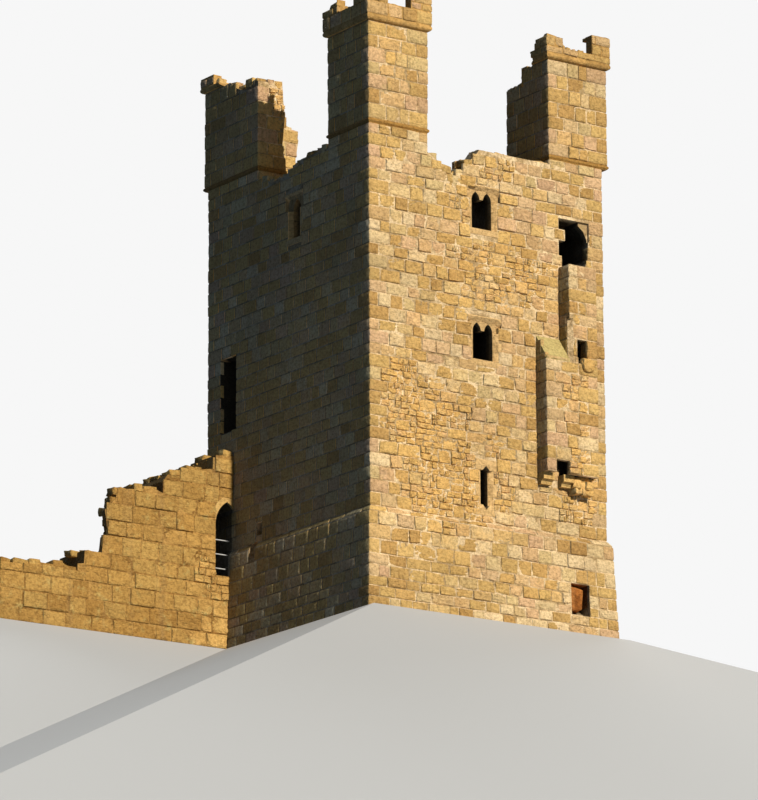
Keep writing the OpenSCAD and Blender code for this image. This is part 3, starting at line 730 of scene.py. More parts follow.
class Corners:
    # quoins shared by two faces, laid long and short in turn
    def __init__(self, pile, corner, outward, faces, levels, profile):
        self.taken = {}
        self.faces = faces
        for number in range(len(levels) - 1):
            va, vb = levels[number:number + 2]
            middle = (va + vb) / 2
            out = profile(middle)
            point = (corner[0] + outward[0] * out, corner[1] + outward[1] * out)
            inward = quoinStone["inward"]
            if not all(exposed(face, self.along(face, point, inward), middle) for face in faces):
                continue
            stretch, header = dice.uniform(*quoinStone["long"]), dice.uniform(*quoinStone["short"])
            lengths = (header, stretch) if number % 2 else (stretch, header)
            lengths = [
                self.clear(face, point, length, middle) for face, length in zip(faces, lengths)]
            self.layQuoin(pile, corner, outward, lengths, va, vb, profile)
            self.taken[number] = (point, lengths)

    def along(self, face, point, inward):
        # place on the face, a little in from the corner
        u = (Vector((*point, 0)) - Vector((*face["at"].xy, 0))).dot(face["u"])
        return u - inward if u > 0 else u + inward

    def clear(self, face, point, length, level):
        # as long as the wall behind it is whole
        step = 0.15
        while step < length and exposed(face, self.along(face, point, step), level):
            step += 0.05
        return min(length, step)

    def layQuoin(self, pile, corner, outward, lengths, va, vb, profile):
        proud = dice.uniform(*quoinStone["proud"])
        joint = courses["joint"]
        master, coords = dice.choice(quoinMasters)
        size = (lengths[0] + proud - joint / 2, lengths[1] + proud - joint / 2, vb - va - joint)
        shape = stretched(coords, quoinStone["size"], size)
        z = shape[:, 2] + (va + vb) / 2
        grow = np.array([profile(level) for level in z])
        x, y = (shape[:, i] + outward[i] * (proud - size[i] / 2) + corner[i] + outward[i] * grow
                for i in (0, 1))
        pile.add(master, np.stack([x, y, z], axis=1))

    def trimmed(self, face, number, start, end):
        if face not in self.faces or number not in self.taken:
            return start, end
        point, lengths = self.taken[number]
        u = self.along(face, point, 0)
        length = lengths[0] if abs(face["n"].y) > 0.5 else lengths[1]
        if abs(end - u) < quoinStone["snap"]:
            end = u - length
        elif abs(start - u) < quoinStone["snap"]:
            start = u + length
        return start, end


def towerFaces(box, levels, style, profile=flatProfile, grow=0.0):
    # the four outer faces of an upright block: front, right, back and left
    x0, y0, x1, y1 = box
    x, y = (x0 + x1) / 2, (y0 + y1) / 2
    wide, deep = (x1 - x0) / 2 + grow, (y1 - y0) / 2 + grow
    sides = (((x, y0, 0), (0, -1, 0), wide), ((x1, y, 0), (1, 0, 0), deep),
             ((x, y1, 0), (0, 1, 0), wide), ((x0, y, 0), (-1, 0, 0), deep))
    return [upFace(at, normal, (-reach, reach), levels, style, profile)
            for at, normal, reach in sides]


def roomFaces(box, levels, style="inner"):
    # the same four faces seen from inside
    faces = towerFaces(box, levels, style)
    for face in faces:
        face["n"] = -face["n"]
        face["u"] = -face["u"]
    return faces


def towerCorners(pile, box, faces, levels, profile=flatProfile):
    x0, y0, x1, y1 = box
    front, right, back, left = faces
    corners = (((x0, y0), (-1, -1), (front, left)), ((x1, y0), (1, -1), (front, right)),
               ((x1, y1), (1, 1), (back, right)), ((x0, y1), (-1, 1), (back, left)))
    return [Corners(pile, *corner, levels, profile) for corner in corners]


# Materials

def connect(tree, node, inputs):
    # each input takes a number, a colour, a vector or the output of another node
    for key, value in inputs.items():
        socket = node.inputs[key]
        if isinstance(value, bpy.types.NodeSocket):
            tree.links.new(value, socket)
        else:
            socket.default_value = (*value, 1) if socket.type == "RGBA" else value


def addNode(tree, kind, inputs=None, **values):
    node = tree.nodes.new("ShaderNode" + kind)
    for key, value in values.items():
        setattr(node, key, value)
    connect(tree, node, inputs or {})
    return node


def newMaterial(name):
    material = bpy.data.materials.new(name)
    material.use_nodes = True
    tree = material.node_tree
    place = addNode(tree, "TexCoord").outputs["Object"]
    return material, tree, place, tree.nodes["Principled BSDF"]


def noise(tree, place, scale, detail, rough, stretch=None):
    if stretch:
        place = addNode(tree, "Mapping", {"Vector": place, "Scale": stretch}).outputs["Vector"]
    inputs = {"Vector": place, "Scale": scale, "Detail": detail, "Roughness": rough}
    return addNode(tree, "TexNoise", inputs).outputs["Fac"]


def ramp(tree, value, stops, blend="LINEAR"):
    # each stop is a place and a colour, or one number for a grey
    node = addNode(tree, "ValToRGB", {"Fac": value})
    node.color_ramp.interpolation = blend
    elements = node.color_ramp.elements
    while len(elements) < len(stops):
        elements.new(0.5)
    for element, (place, tone) in zip(elements, stops):
        element.position = place
        element.color = (*(tone if isinstance(tone, tuple) else (tone,) * 3), 1)
    return node.outputs["Color"]


def mix(tree, kind, amount, first, second):
    inputs = {0: amount, 6: first, 7: second}
    return addNode(tree, "Mix", inputs, data_type="RGBA", blend_type=kind).outputs[2]


def sums(tree, kind, first, second, clamp=False):
    return addNode(tree, "Math", {0: first, 1: second}, operation=kind, use_clamp=clamp).outputs[0]


def axes(tree, place):
    # the X, Y and Z parts of a place or a direction
    return addNode(tree, "SeparateXYZ", {"Vector": place}).outputs


def tintParts(tree):
    # what the stone's own tint holds: its hue, its shade and how worn it is
    tint = addNode(tree, "Attribute", attribute_name="stoneTint").outputs["Color"]
    return addNode(tree, "SeparateColor", {"Color": tint}).outputs


def bumped(tree, shader, height, strength, distance, under=None):
    # a bump on the shader, on top of an earlier one where there is one
    inputs = {"Strength": strength, "Distance": distance, "Height": height}
    if under:
        inputs["Normal"] = under
    normal = addNode(tree, "Bump", inputs).outputs["Normal"]
    connect(tree, shader, {"Normal": normal})
    return normal


sandstone = {
    "deep": (0.58, 0.335, 0.110),
    "tan": (0.69, 0.435, 0.150),
    "ochre": (0.77, 0.500, 0.175),
    "rose": (0.76, 0.480, 0.265),
    "jamb": (0.74, 0.480, 0.205),
    "olive": (0.73, 0.525, 0.235),
    "pale": (0.90, 0.665, 0.370),
    "worn": (0.90, 0.540, 0.170),
    "stain": (0.33, 0.205, 0.085),
    "lichen": (0.58, 0.450, 0.160),
    "moss": (0.59, 0.470, 0.185),
    "mould": (0.60, 0.350, 0.110),
    "rust": (0.58, 0.210, 0.045),
    "mortar": (1.0, 0.750, 0.430),
    "core": (0.58, 0.330, 0.095),
    "umber": (0.46, 0.245, 0.060),
    "earth": (0.52, 0.290, 0.075),
    "dun": (0.58, 0.350, 0.100),
}


def weather(tree, place, colour, stain, lichen):
    # broad stains, streaks down the face and spots of lichen over any stone
    broad = ramp(tree, noise(tree, place, 0.40, 5.0, 0.6), (
        (0.30, (0.72, 0.68, 0.62)), (0.52, 1.0), (0.75, (1.12, 1.10, 1.06))))
    colour = mix(tree, "MULTIPLY", 0.6, colour, broad)
    streaks = noise(tree, place, 1.0, 6.0, 0.65, (2.4, 2.4, 0.22))
    streaks = ramp(tree, streaks, ((0.55, 0.0), (0.76, stain)))
    colour = mix(tree, "MIX", streaks, colour, sandstone["stain"])
    spots = ramp(tree, noise(tree, place, 3.2, 8.0, 0.7), ((0.56, 0.0), (0.68, lichen)))
    return mix(tree, "MIX", spots, colour, sandstone["lichen"])


def roughStone(tree, place, shader, colour, relief=1.0, sunlessShadeTint=(0.42, 0.53, 0.74)):
    # the grain, beds and pits that every weathered stone has, and painted shade on the side turned
    # from the sun
    colour = paintedSunlessShade(tree, colour, sunlessShadeTint)
    grain = ramp(tree, noise(tree, place, 11.0, 6.0, 0.65), (
        (0.34, (0.62, 0.57, 0.50)), (0.54, 1.04), (0.68, (1.16, 1.16, 1.14))))
    colour = mix(tree, "MULTIPLY", 0.85, colour, grain)
    connect(tree, shader, {"Base Color": colour, "Roughness": 0.93, "Specular IOR Level": 0.15})
    hollows = noise(tree, place, 4.5, 6.0, 0.6)
    beds = noise(tree, place, 9.0, 6.0, 0.7, (0.6, 0.6, 2.6))
    pits = noise(tree, place, 30.0, 5.0, 0.6)
    large = bumped(tree, shader, hollows, 0.9 * relief, 0.16)
    middle = bumped(tree, shader, beds, 0.8 * relief, 0.06, large)
    bumped(tree, shader, pits, 0.7, 0.018, middle)


# Painted shade darkens what lies behind the outer faces, and the curtain doorway and the lancet
paintedShadeZones = {
    "behind": 0.08,
    "fade": 0.25,
    "tone": (0.16, 0.16, 0.16),
    "boxes": (
        ((-5.3, 3.16, 2.3), (-4.5, 4.5, 5.05), 0.9),
        ((-4.548, -0.8, 12.6), (-4.1, 0.0, 14.2), 0.45),
    ),
}


def shaded(tree, place, colour):
    # painted shade: rooms, the passage and the depth of the openings are darkened below the wall
    # walk, where shade falls
    x, y, z = axes(tree, place)
    outer = sums(tree, "MAXIMUM", sums(tree, "ABSOLUTE", x, 0.0), sums(tree, "ABSOLUTE", y, 0.0))
    behind = sums(tree, "SUBTRACT", half - paintedShadeZones["behind"], outer)
    deep = sums(tree, "DIVIDE", behind, paintedShadeZones["fade"], True)
    share = sums(tree, "MULTIPLY", deep, sums(tree, "LESS_THAN", z, walkZ - 0.02))
    for lowest, highest, amount in paintedShadeZones["boxes"]:
        boxShade = sums(tree, "MULTIPLY", insideBox(tree, place, lowest, highest), amount)
        share = sums(tree, "MAXIMUM", share, boxShade)
    return mix(tree, "MULTIPLY", share, colour, paintedShadeZones["tone"])


def paintedSunlessShade(tree, colour, sunlessShadeTint):
    # painted shade: faces turned away from the sun, towards -X, are darkened as if they lay in
    # shade
    x, y = axes(tree, addNode(tree, "NewGeometry").outputs["True Normal"])[:2]
    slant = sums(tree, "MULTIPLY", sums(tree, "ABSOLUTE", y, 0.0), 1.2)
    west = sums(tree, "SUBTRACT", sums(tree, "SUBTRACT", -0.15, x), slant)
    return mix(tree, "MULTIPLY", sums(tree, "DIVIDE", west, 0.3, True), colour, sunlessShadeTint)


def insideBox(tree, place, lowest, highest):
    # 1 inside an upright box, 0 outside it
    share = None
    for part, least, most in zip(axes(tree, place), lowest, highest):
        for kind, limit in (("GREATER_THAN", least), ("LESS_THAN", most)):
            test = sums(tree, kind, part, limit)
            share = test if share is None else sums(tree, "MULTIPLY", share, test)
    return share


def stoneMaterial(name, stain, lichen, palette=("deep", "tan", "ochre", "rose", "olive", "pale")):
    material, tree, place, shader = newMaterial(name)
    hue, shade, worn = tintParts(tree)
    stops = [(i / (len(palette) - 1), sandstone[key]) for i, key in enumerate(palette)]
    shade = ramp(tree, shade, ((0.0, (0.86, 0.85, 0.83)), (0.6, 1.0), (1.0, 1.08)))
    colour = mix(tree, "MULTIPLY", 1.0, ramp(tree, hue, stops), shade)
    patch = sums(tree, "MULTIPLY", noise(tree, place, 2.2, 5.0, 0.6), worn)
    patch = ramp(tree, patch, ((0.14, 0.0), (0.50, 0.85)))
    colour = mix(tree, "MIX", patch, colour, sandstone["worn"])
    colour = weather(tree, place, colour, stain, lichen)
    roughStone(tree, place, shader, shaded(tree, place, colour))
    return material


def coreMaterial(name, colour, stain, lichen, dark=()):
    # rubble and mortar between and behind the stones, with each given box laid over in its own
    # tone, some of them painted shade
    material, tree, place, shader = newMaterial(name)
    rubble = noise(tree, place, 5.0, 6.0, 0.7)
    rubble = ramp(tree, rubble, ((0.35, (0.72, 0.69, 0.64)), (0.60, 1.06)))
    washed = ramp(tree, noise(tree, place, 1.6, 4.0, 0.6), ((0.44, 0.0), (0.58, 1.0)))
    base = mix(tree, "MULTIPLY", 0.7, colour, rubble)
    base = mix(tree, "MULTIPLY", washed, base, (0.55, 0.50, 0.42))
    base = shaded(tree, place, weather(tree, place, base, stain, lichen))
    for tone, lowest, highest in dark:
        base = mix(tree, "MIX", insideBox(tree, place, lowest, highest), base, tone)
    # the mortar takes a stronger painted shade on its sunless side
    roughStone(tree, place, shader, base, 1.0, (0.28, 0.36, 0.53))
    return material


dressedJoint = {
    "width": 0.018,
    "waver": 0.02,
    "line": 0.70,
    "tones": (0.92, 1.08, 0.97, 1.12, 0.90, 1.04, 0.95, 1.10, 1.0, 0.93),
}


def jointed(tree, place, colour, axis, lines):
    # thin dark lines at these places along one axis, and a tone for each stone between them
    waver = sums(tree, "SUBTRACT", noise(tree, place, 6.0, 2.0, 0.5), 0.5)
    waver = sums(tree, "MULTIPLY", waver, dressedJoint["waver"])
    along = sums(tree, "ADD", axes(tree, place)[axis], waver)
    first, last = lines[0] - 1.0, lines[-1] + 1.0
    share = sums(tree, "DIVIDE", sums(tree, "SUBTRACT", along, first), last - first)
    tones, side = dressedJoint["tones"], dressedJoint["width"] / 2
    stops = [(0.0, tones[0])]
    for i, line in enumerate(lines):
        stops.append(((line - side - first) / (last - first), dressedJoint["line"]))
        stops.append(((line + side - first) / (last - first), tones[(i + 1) % len(tones)]))
    return mix(tree, "MULTIPLY", 1.0, colour, ramp(tree, share, stops, "CONSTANT"))


def dressedMaterial(name, colour, levels=(), alongX=(), alongY=()):
    # dressed stones of one opening or moulding, parted by joints at these places
    material, tree, place, shader = newMaterial(name)
    for axis, lines in ((2, levels), (0, alongX), (1, alongY)):
        if lines:
            colour = jointed(tree, place, colour, axis, lines)
    colour = weather(tree, place, colour, 0.3, 0.2)
    roughStone(tree, place, shader, shaded(tree, place, colour), 0.7)
    return material


def timberMaterial():
    material, tree, place, shader = newMaterial("oldOak")
    grain = noise(tree, place, 6.0, 8.0, 0.6, (0.4, 9.0, 9.0))
    colour = ramp(tree, grain, (
        (0.3, (0.10, 0.066, 0.040)), (0.55, (0.20, 0.14, 0.09)), (0.75, (0.30, 0.23, 0.16))))
    shade = ramp(tree, tintParts(tree)[1], ((0.0, 0.9), (1.0, 1.5)))
    colour = mix(tree, "MULTIPLY", 1.0, colour, shade)
    connect(tree, shader, {"Base Color": colour, "Roughness": 0.8})
    bumped(tree, shader, grain, 0.5, 0.006)
    return material


def railMaterial():
    material, tree, place, shader = newMaterial("dullRailPaint")
    flaked = noise(tree, place, 12.0, 6.0, 0.6)
    colour = ramp(tree, flaked, (
        (0.45, (0.50, 0.49, 0.46)), (0.62, (0.60, 0.59, 0.56)), (0.72, (0.22, 0.13, 0.08))))
    connect(tree, shader, {"Base Color": colour, "Metallic": 0.35, "Roughness": 0.5})
    bumped(tree, shader, flaked, 0.3, 0.002)
    return material


def steps(start, end, pitch):
    count = max(2, round((end - start) / pitch))
    return [start + (end - start) * i / count for i in range(1, count)]


def windowLook(name, sill, jambs, head):
    # joints on the sill, between the three stones of the jambs and under the head
    levels = [sill + jambs * i / 3 for i in range(4)] + [head]
    return dressedMaterial(name + "Stones", sandstone["jamb"], levels)


stoneLook = stoneMaterial("weatheredSandstone", 0.40, 0.22)
turretLook = stoneMaterial(
    "brownedSandstone", 0.45, 0.26, ("deep", "tan", "ochre", "rose", "tan", "olive"))
curtainLook = stoneMaterial(
    "lichenedSandstone", 0.55, 0.60, ("umber", "earth", "dun", "earth", "dun"))
# near black, for painted shade in hollows that the light doesn't reach
holeShade = (0.035, 0.028, 0.018)

# The mortars, and the boxes in which each is darkened or stained: painted shade in the walk doorway
# and the garderobe hollows, umber on the string course, rust under the outlet
mortars = {
    "mortarAndCore": (
        (holeShade, (-4.63, 2.9, 7.22), (-2.0, 3.85, 9.75)),
        (sandstone["umber"], (-6, -6, stringLow - 0.03), (6, 6, stringHigh + 0.03)),
    ),
    "frontMortarAndCore": (
        (holeShade, (2.02, -4.95, 5.0), (3.68, -3.0, 8.74)),
        (holeShade, (2.95, -4.95, 8.7), (3.68, -3.0, 12.0)),
        (sandstone["rust"], (2.8, -4.62, 1.0), (3.9, -3.0, 1.9)),
    ),
    "shaftMortarAndCore": (
        (holeShade, (2.02, -4.95, 5.0), (3.9, -3.0, 8.77)),
        (holeShade, (2.95, -4.95, 8.7), (3.9, -3.0, 12.2)),
    ),
}
coreLook, frontCoreLook, shaftCoreLook = (
    coreMaterial(name, sandstone["mortar"], 0.4, 0.25, dark) for name, dark in mortars.items())
curtainCoreLook = coreMaterial("curtainMortar", sandstone["core"], 0.5, 0.6)
oakLook = timberMaterial()

# Name, sill level, height of the jambs and level of the head
windowJoints = {
    "upper_window": ("upper", 12.76, 0.97, 14.00),
    "middle_window": ("middle", 8.49, 0.95, 9.71),
    "slit_window": ("slit", 3.67, 1.26, 5.08),
    "left_lancet": ("lancet", 12.76, 0.97, 14.09),
    "right_windows": ("right", 12.76, 0.97, 14.09),
    "back_windows": ("back", 12.76, 0.97, 14.00),
}
looks = {nodeName: windowLook(*joints) for nodeName, joints in windowJoints.items()}
mouldLook = dressedMaterial(
    "mouldedStones", sandstone["mould"], (), steps(-half, half, 0.62), steps(-half, half, 0.66))
for nodeNames, look in (
    (("garderobe_corbels",), dressedMaterial("corbelStones", sandstone["tan"])),
    (("garderobe_cap",), dressedMaterial("mossyCapstone", sandstone["moss"])),
    (("doorway_arch",), dressedMaterial("archStones", sandstone["tan"])),
    (("doorway_rails",), railMaterial()),
    (("front_wall_lower", "front_wall_middle", "front_wall_upper"), frontCoreLook),
    (("garderobe_lower_shaft", "garderobe_upper_shaft"), shaftCoreLook),
    (("curtain_wall", "curtain_wall_low", "curtain_wall_over_doorway"), curtainCoreLook),
    (("near_turret_parapet", "right_turret_parapet", "stair_turret_parapet"), mouldLook),
    (floorNodes, oakLook),
):
    looks.update(dict.fromkeys(nodeNames, look))
for nodeName, node in (*cadNodes.items(), *wornPieces.items()):
    node.data.materials.clear()
    node.data.materials.append(looks.get(nodeName, coreLook))
report("materials made")


# Every face that stones are laid on, wall by wall

def dressAll(name, faces, look, corners=()):
    pile = StonePile(name)
    for face in faces:
        dressFace(pile, face, corners)
    pile.join(look)


def squareBox(reach):
    return -reach, -reach, reach, reach


keepLevels = (
    courseLevels(0.0, masonry["outletBed"])
    + courseLevels(masonry["outletBed"], masonry["outletTop"])[1:]
    + courseLevels(masonry["outletTop"], shoulderZ)[1:]
    + courseLevels(masonry["plinthHeight"], walkZ)
    + courseLevels(walkZ, stringLow)[1:]
)
keepBox = squareBox(half)
keepFaces = towerFaces(keepBox, keepLevels, "keep", wallProfile, plinthFootOut)
quoins = StonePile("keepQuoins")
keepCorners = towerCorners(quoins, keepBox, keepFaces, keepLevels, wallProfile)
quoins.join(stoneLook)
for side, face in zip(("front", "right", "back", "left"), keepFaces):
    dressAll(side + "WallStones", [face], stoneLook, keepCorners)


# Which sides stand on the keep's own faces, the room inside, and two course levels of the crown
turrets = {
    "nearTurret": {
        "box": (-half, -half, -2.31, -2.31),
        "onKeep": (0, 3),
        "rooms": (),
        "crown": (19.55, 19.78),
        "look": turretLook,
    },
    "rightTurret": {
        "box": (2.48, -half, 4.78, -2.31),
        "onKeep": (0,),
        "rooms": ((2.96, -4.07, 4.30, -2.79),),
        "crown": (19.34, 19.68),
        "look": stoneLook,
    },
    "stairTurret": {
        "box": (-half, 1.68, -1.30, 4.78),
        "onKeep": (3,),
        "rooms": ((-3.90, 2.33, -1.30, 4.13),),
        "crown": (19.36, 19.68),
        "look": turretLook,
    },
}
for name, turret in turrets.items():
    upper = courseLevels(stringHigh, shaftTopZ, "turret")
    lower = courseLevels(walkZ, stringLow, "turret")
    faces = towerFaces(turret["box"], upper, "turret")
    pile = StonePile(name + "Stones")
    corners = towerCorners(pile, turret["box"], faces, upper)
    lowerFaces = towerFaces(turret["box"], lower, "turret")
    faces += [face for i, face in enumerate(lowerFaces) if i not in turret["onKeep"]]
    for box in turret["rooms"]:
        faces += roomFaces(box, courseLevels(walkZ, shaftTopZ, "turret"), "turret")
    for face in faces:
        dressFace(pile, face, corners)
    pile.join(turret["look"])

for name, turret in turrets.items():
    levels = [masonry["crownFoot"], *turret["crown"], merlonTopZ]
    x0, y0, x1, y1 = turret["box"]
    over, thick = masonry["turretOver"], masonry["crownThick"]
    outer = (x0 - over, y0 - over, x1 + over, y1 + over)
    inner = (x0 + thick, y0 + thick, x1 - thick, y1 - thick)
    pile = StonePile(name + "CrownStones")
    faces = towerFaces(outer, levels, "turret")
    corners = towerCorners(pile, outer, faces, levels)
    tops = [topFace(outer[0], outer[2], outer[1], outer[3], z) for z in levels[1:]]
    for face in faces + roomFaces(inner, [shaftTopZ] + levels[1:], "turret") + tops:
        dressFace(pile, face, corners)
    pile.join(turret["look"])

report("outer walls dressed")


# Inner faces, wall walk, platforms and parapet tops

innerFaces = roomFaces(squareBox(topRoom), courseLevels(secondFloorZ, walkZ, "inner"))
parapetLevels = courseLevels(walkZ, masonry["parapetTop"], "inner")
innerFaces += roomFaces(squareBox(walkInside), parapetLevels)
dressAll("innerWallStones", innerFaces, stoneLook)
pavedFaces = [topFace(-half, half, -half, half, z) for z in (walkZ, breastZ)]
for turret in turrets.values():
    x0, y0, x1, y1 = turret["box"]
    pavedFaces.append(topFace(x0, x1, y0, y1, shaftTopZ))
dressAll("pavingStones", pavedFaces, stoneLook)


# Boards of the two floors, each over two lengths

boards = {
    "width": 0.24,
    "gap": 0.006,
    "split": (0.35, 0.65),
    "sink": 0.004,
}


def layBoards(node):
    lowest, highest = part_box(node)
    master, coords = cutBoard()
    pile = StonePile(node.split("_")[0] + "FloorBoardsLaid")
    count = round((highest.y - lowest.y) / boards["width"])
    width = (highest.y - lowest.y) / count
    for number in range(count):
        split = lowest.x + (highest.x - lowest.x) * dice.uniform(*boards["split"])
        y = lowest.y + (number + 0.5) * width
        for x0, x1 in ((lowest.x, split), (split, highest.x)):
            sink = dice.uniform(0.0, boards["sink"])
            size = (x1 - x0 - boards["gap"], width - boards["gap"], highest.z - lowest.z - 2 * sink)
            middle = ((x0 + x1) / 2, y, (lowest.z + highest.z) / 2)
            pile.add(master, coords * np.array(size) + np.array(middle))
    piece = pile.join(oakLook, "floor_timber")
    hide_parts(node)


for node in ("first_floor_boards", "second_floor_boards"):
    layBoards(node)


# Garderobe shafts

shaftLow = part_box("garderobe_lower_shaft")
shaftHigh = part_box("garderobe_upper_shaft")
holes = {
    "lowerTop": shaftLow[0].z + 0.40,
    "upperFoot": shaftHigh[0].z + 0.21,
    "upperTop": shaftHigh[0].z + 0.80,
}
shaftLevels = [shaftLow[0].z] + courseLevels(holes["lowerTop"], shaftLow[1].z, "shaft")
shaftLevels += [holes["upperFoot"]] + courseLevels(holes["upperTop"], shaftHigh[1].z, "shaft")
pile = StonePile("garderobeStones")
shaftBack = -half + 0.6
wideBox, slimBox = (
    (lowest.x, lowest.y, highest.x, shaftBack) for lowest, highest in (shaftLow, shaftHigh))
faces = towerFaces(wideBox, shaftLevels, "shaft")
slimLeft = towerFaces(slimBox, shaftLevels, "shaft")[3]
corners = towerCorners(pile, wideBox, faces, shaftLevels)
corners.append(Corners(pile, slimBox[:2], (-1, -1), (faces[0], slimLeft), shaftLevels, flatProfile))
for face in faces[:2] + [faces[3], slimLeft]:
    dressFace(pile, face, corners)
boulder = {"at": (3.47, -5.05, 8.73), "size": (0.42, 0.34, 0.42), "worn": 0.9}
master, coords = cutBoulder()
size, at = (np.array(boulder[key]) for key in ("size", "at"))
pile.add(master, coords * size + at, boulder["worn"])
erodedFoot = {
    "x": (3.00, 3.84),
    "levels": (4.68, 4.86, 5.04),
    "sizes": ((0.20, 0.34), (0.22, 0.36), (0.18, 0.26)),
    "front": (-4.98, -4.86),
    "overlap": 0.85,
}
for level in erodedFoot["levels"]:
    x, end = erodedFoot["x"]
    while x < end:
        master, shape = looseBlock(erodedFoot["sizes"])
        wide = 2 * shape[:, 0].max()
        front = dice.uniform(*erodedFoot["front"])
        at = (min(x + wide / 2, end - wide / 2), front - shape[:, 1].min(), level)
        pile.add(master, shape + np.array(at), 1.0)
        x += wide * erodedFoot["overlap"]
pile.join(stoneLook)


# A stone that has slipped into the outlet, stained by the water

outletStone = {"at": (3.22, -4.44, 1.24), "size": (0.52, 0.34, 0.74)}
pile = StonePile("outletStone")
master, coords = rubbleMasters[0]
size, at = (np.array(outletStone[key]) for key in ("size", "at"))
pile.add(master, coords * size / rubbleStone["size"] + at)
pile.join(coreMaterial("rustStainedStone", sandstone["rust"], 0.3, 0.0))


# Curtain wall, and the side of its doorway that faces the keep

curtainLow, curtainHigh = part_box("curtain_wall")
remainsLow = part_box("curtain_wall_low")[0]
curtainLevels = courseLevels(0.0, curtainHigh.z, "curtain")
curtainBox = (remainsLow.x, curtainLow.y, -half, curtainHigh.y)
front, right, back, left = towerFaces(curtainBox, curtainLevels, "curtain")
doorSide = {"x": -5.23, "reach": 0.75}
at = (doorSide["x"], (curtainLow.y + curtainHigh.y) / 2, 0)
span = (-doorSide["reach"], doorSide["reach"])
passage = upFace(at, (1, 0, 0), span, curtainLevels, "curtain")
dressAll("curtainWallStones", [front, left, passage], curtainLook)
dressAll("curtainWallBackStones", [back], curtainLook)


# Loose and broken stones on the ruined wall tops

looseStones = {
    "spread": (0.2, 0.8),
    "inside": 0.08,
    "flat": 0.2,
    "nearIntact": 0.03,
    "over": 0.03,
    "lift": (-0.1, 0.22),
    "underShare": 0.7,
    "underDrop": 0.45,
}
blocks = ((0.24, 0.46), (0.22, 0.40), (0.16, 0.28))
smallBlocks = ((0.22, 0.42), (0.20, 0.36), (0.12, 0.22))
merlonBlocks = ((0.14, 0.26), (0.12, 0.22), (0.08, 0.16))
gapBlocks = ((0.28, 0.40), (0.24, 0.34), (0.24, 0.34))
bigBlocks = ((0.38, 0.62), (0.32, 0.55), (0.18, 0.30))
endBlocks = ((0.34, 0.52), (0.30, 0.48), (0.20, 0.32))


def castDown(x, y):
    return tree.ray_cast(Vector((x, y, merlonTopZ + 1)), Vector((0, 0, -1)))


def hangsOut(x, y, reach, level):
    # true where one side of a stone has nothing close under it
    share = looseStones["underShare"]
    for along, across in ((-share, 0), (share, 0), (0, -share), (0, share)):
        below = castDown(x + along * reach[0], y + across * reach[1])[0]
        if below is None or below.z < level - looseStones["underDrop"]:
            return True
    return False


def breakTop(pile, x0, x1, y0, y1, lowest, pitch, sizes, intact=()):
    inside, over = looseStones["inside"], looseStones["over"]
    for i in range(int((x1 - x0) / pitch) + 1):
        for j in range(int((y1 - y0) / pitch) + 1):
            x = min(x1 - inside, x0 + (i + dice.uniform(*looseStones["spread"])) * pitch)
            y = min(y1 - inside, y0 + (j + dice.uniform(*looseStones["spread"])) * pitch)
            spot, normal, index, distance = castDown(x, y)
            if spot is None or spot.z < lowest or normal.z < looseStones["flat"]:
                continue
            if faceOwner[index] in floorNodes:
                continue
            if any(abs(spot.z - level) < looseStones["nearIntact"] for level in intact):
                continue
            master, shape = looseBlock(sizes)
            reach = shape[:, :2].max(axis=0)
            x = min(max(x, x0 + reach[0] - over), x1 - reach[0] + over)
            y = min(max(y, y0 + reach[1] - over), y1 - reach[1] + over)
            level = spot.z + 2 * shape[:, 2].max() * dice.uniform(*looseStones["lift"])
            if not hangsOut(x, y, reach, spot.z):
                pile.add(master, shape + np.array((x, y, level)))


# Each top: x from and to, y from and to, lowest level, pitch, blocks, and the levels left whole
intactKeep = (walkZ, breastZ, shaftTopZ, merlonTopZ, 19.55, 19.34)
ruinedTops = (
    (-half, half, -half, -walkInside, 14.0, 0.34, blocks, intactKeep),
    (-half, half, walkInside, half, 14.0, 0.34, blocks, intactKeep),
    (-half, -walkInside, -2.31, 2.36, 14.0, 0.34, blocks, intactKeep),
    (walkInside, half, -2.31, half, 14.0, 0.34, blocks, intactKeep),
    (-half, -3.90, 1.68, 4.78, 15.0, 0.34, smallBlocks, intactKeep),
    (-3.90, -1.30, 4.13, 4.78, 15.0, 0.34, smallBlocks, intactKeep),
    (-3.90, -1.90, 1.68, 2.33, 15.0, 0.34, smallBlocks, intactKeep),
    (2.48, 2.96, -3.9, -2.31, 16.0, 0.34, smallBlocks, intactKeep),
    (3.1, 3.9, -4.63, -4.33, 19.0, 0.26, merlonBlocks, (merlonTopZ,)),
)
rubble = StonePile("brokenTopStones")
for top in ruinedTops:
    breakTop(rubble, *top)
rubble.join(stoneLook)

curtainRubble = StonePile("curtainTopStones")
breakTop(curtainRubble, remainsLow.x, -half, curtainLow.y, curtainHigh.y, 1.0, 0.48, bigBlocks)

brokenEnd = {
    "foot": 0.12,
    "rise": 0.32,
    "shares": (0.04, 1.0, 0.24),
    "sway": 0.06,
    "cast": 0.6,
    "sink": (0.05, 0.15),
    "lean": 0.16,
    "proud": 0.10,
    "over": 0.03,
}


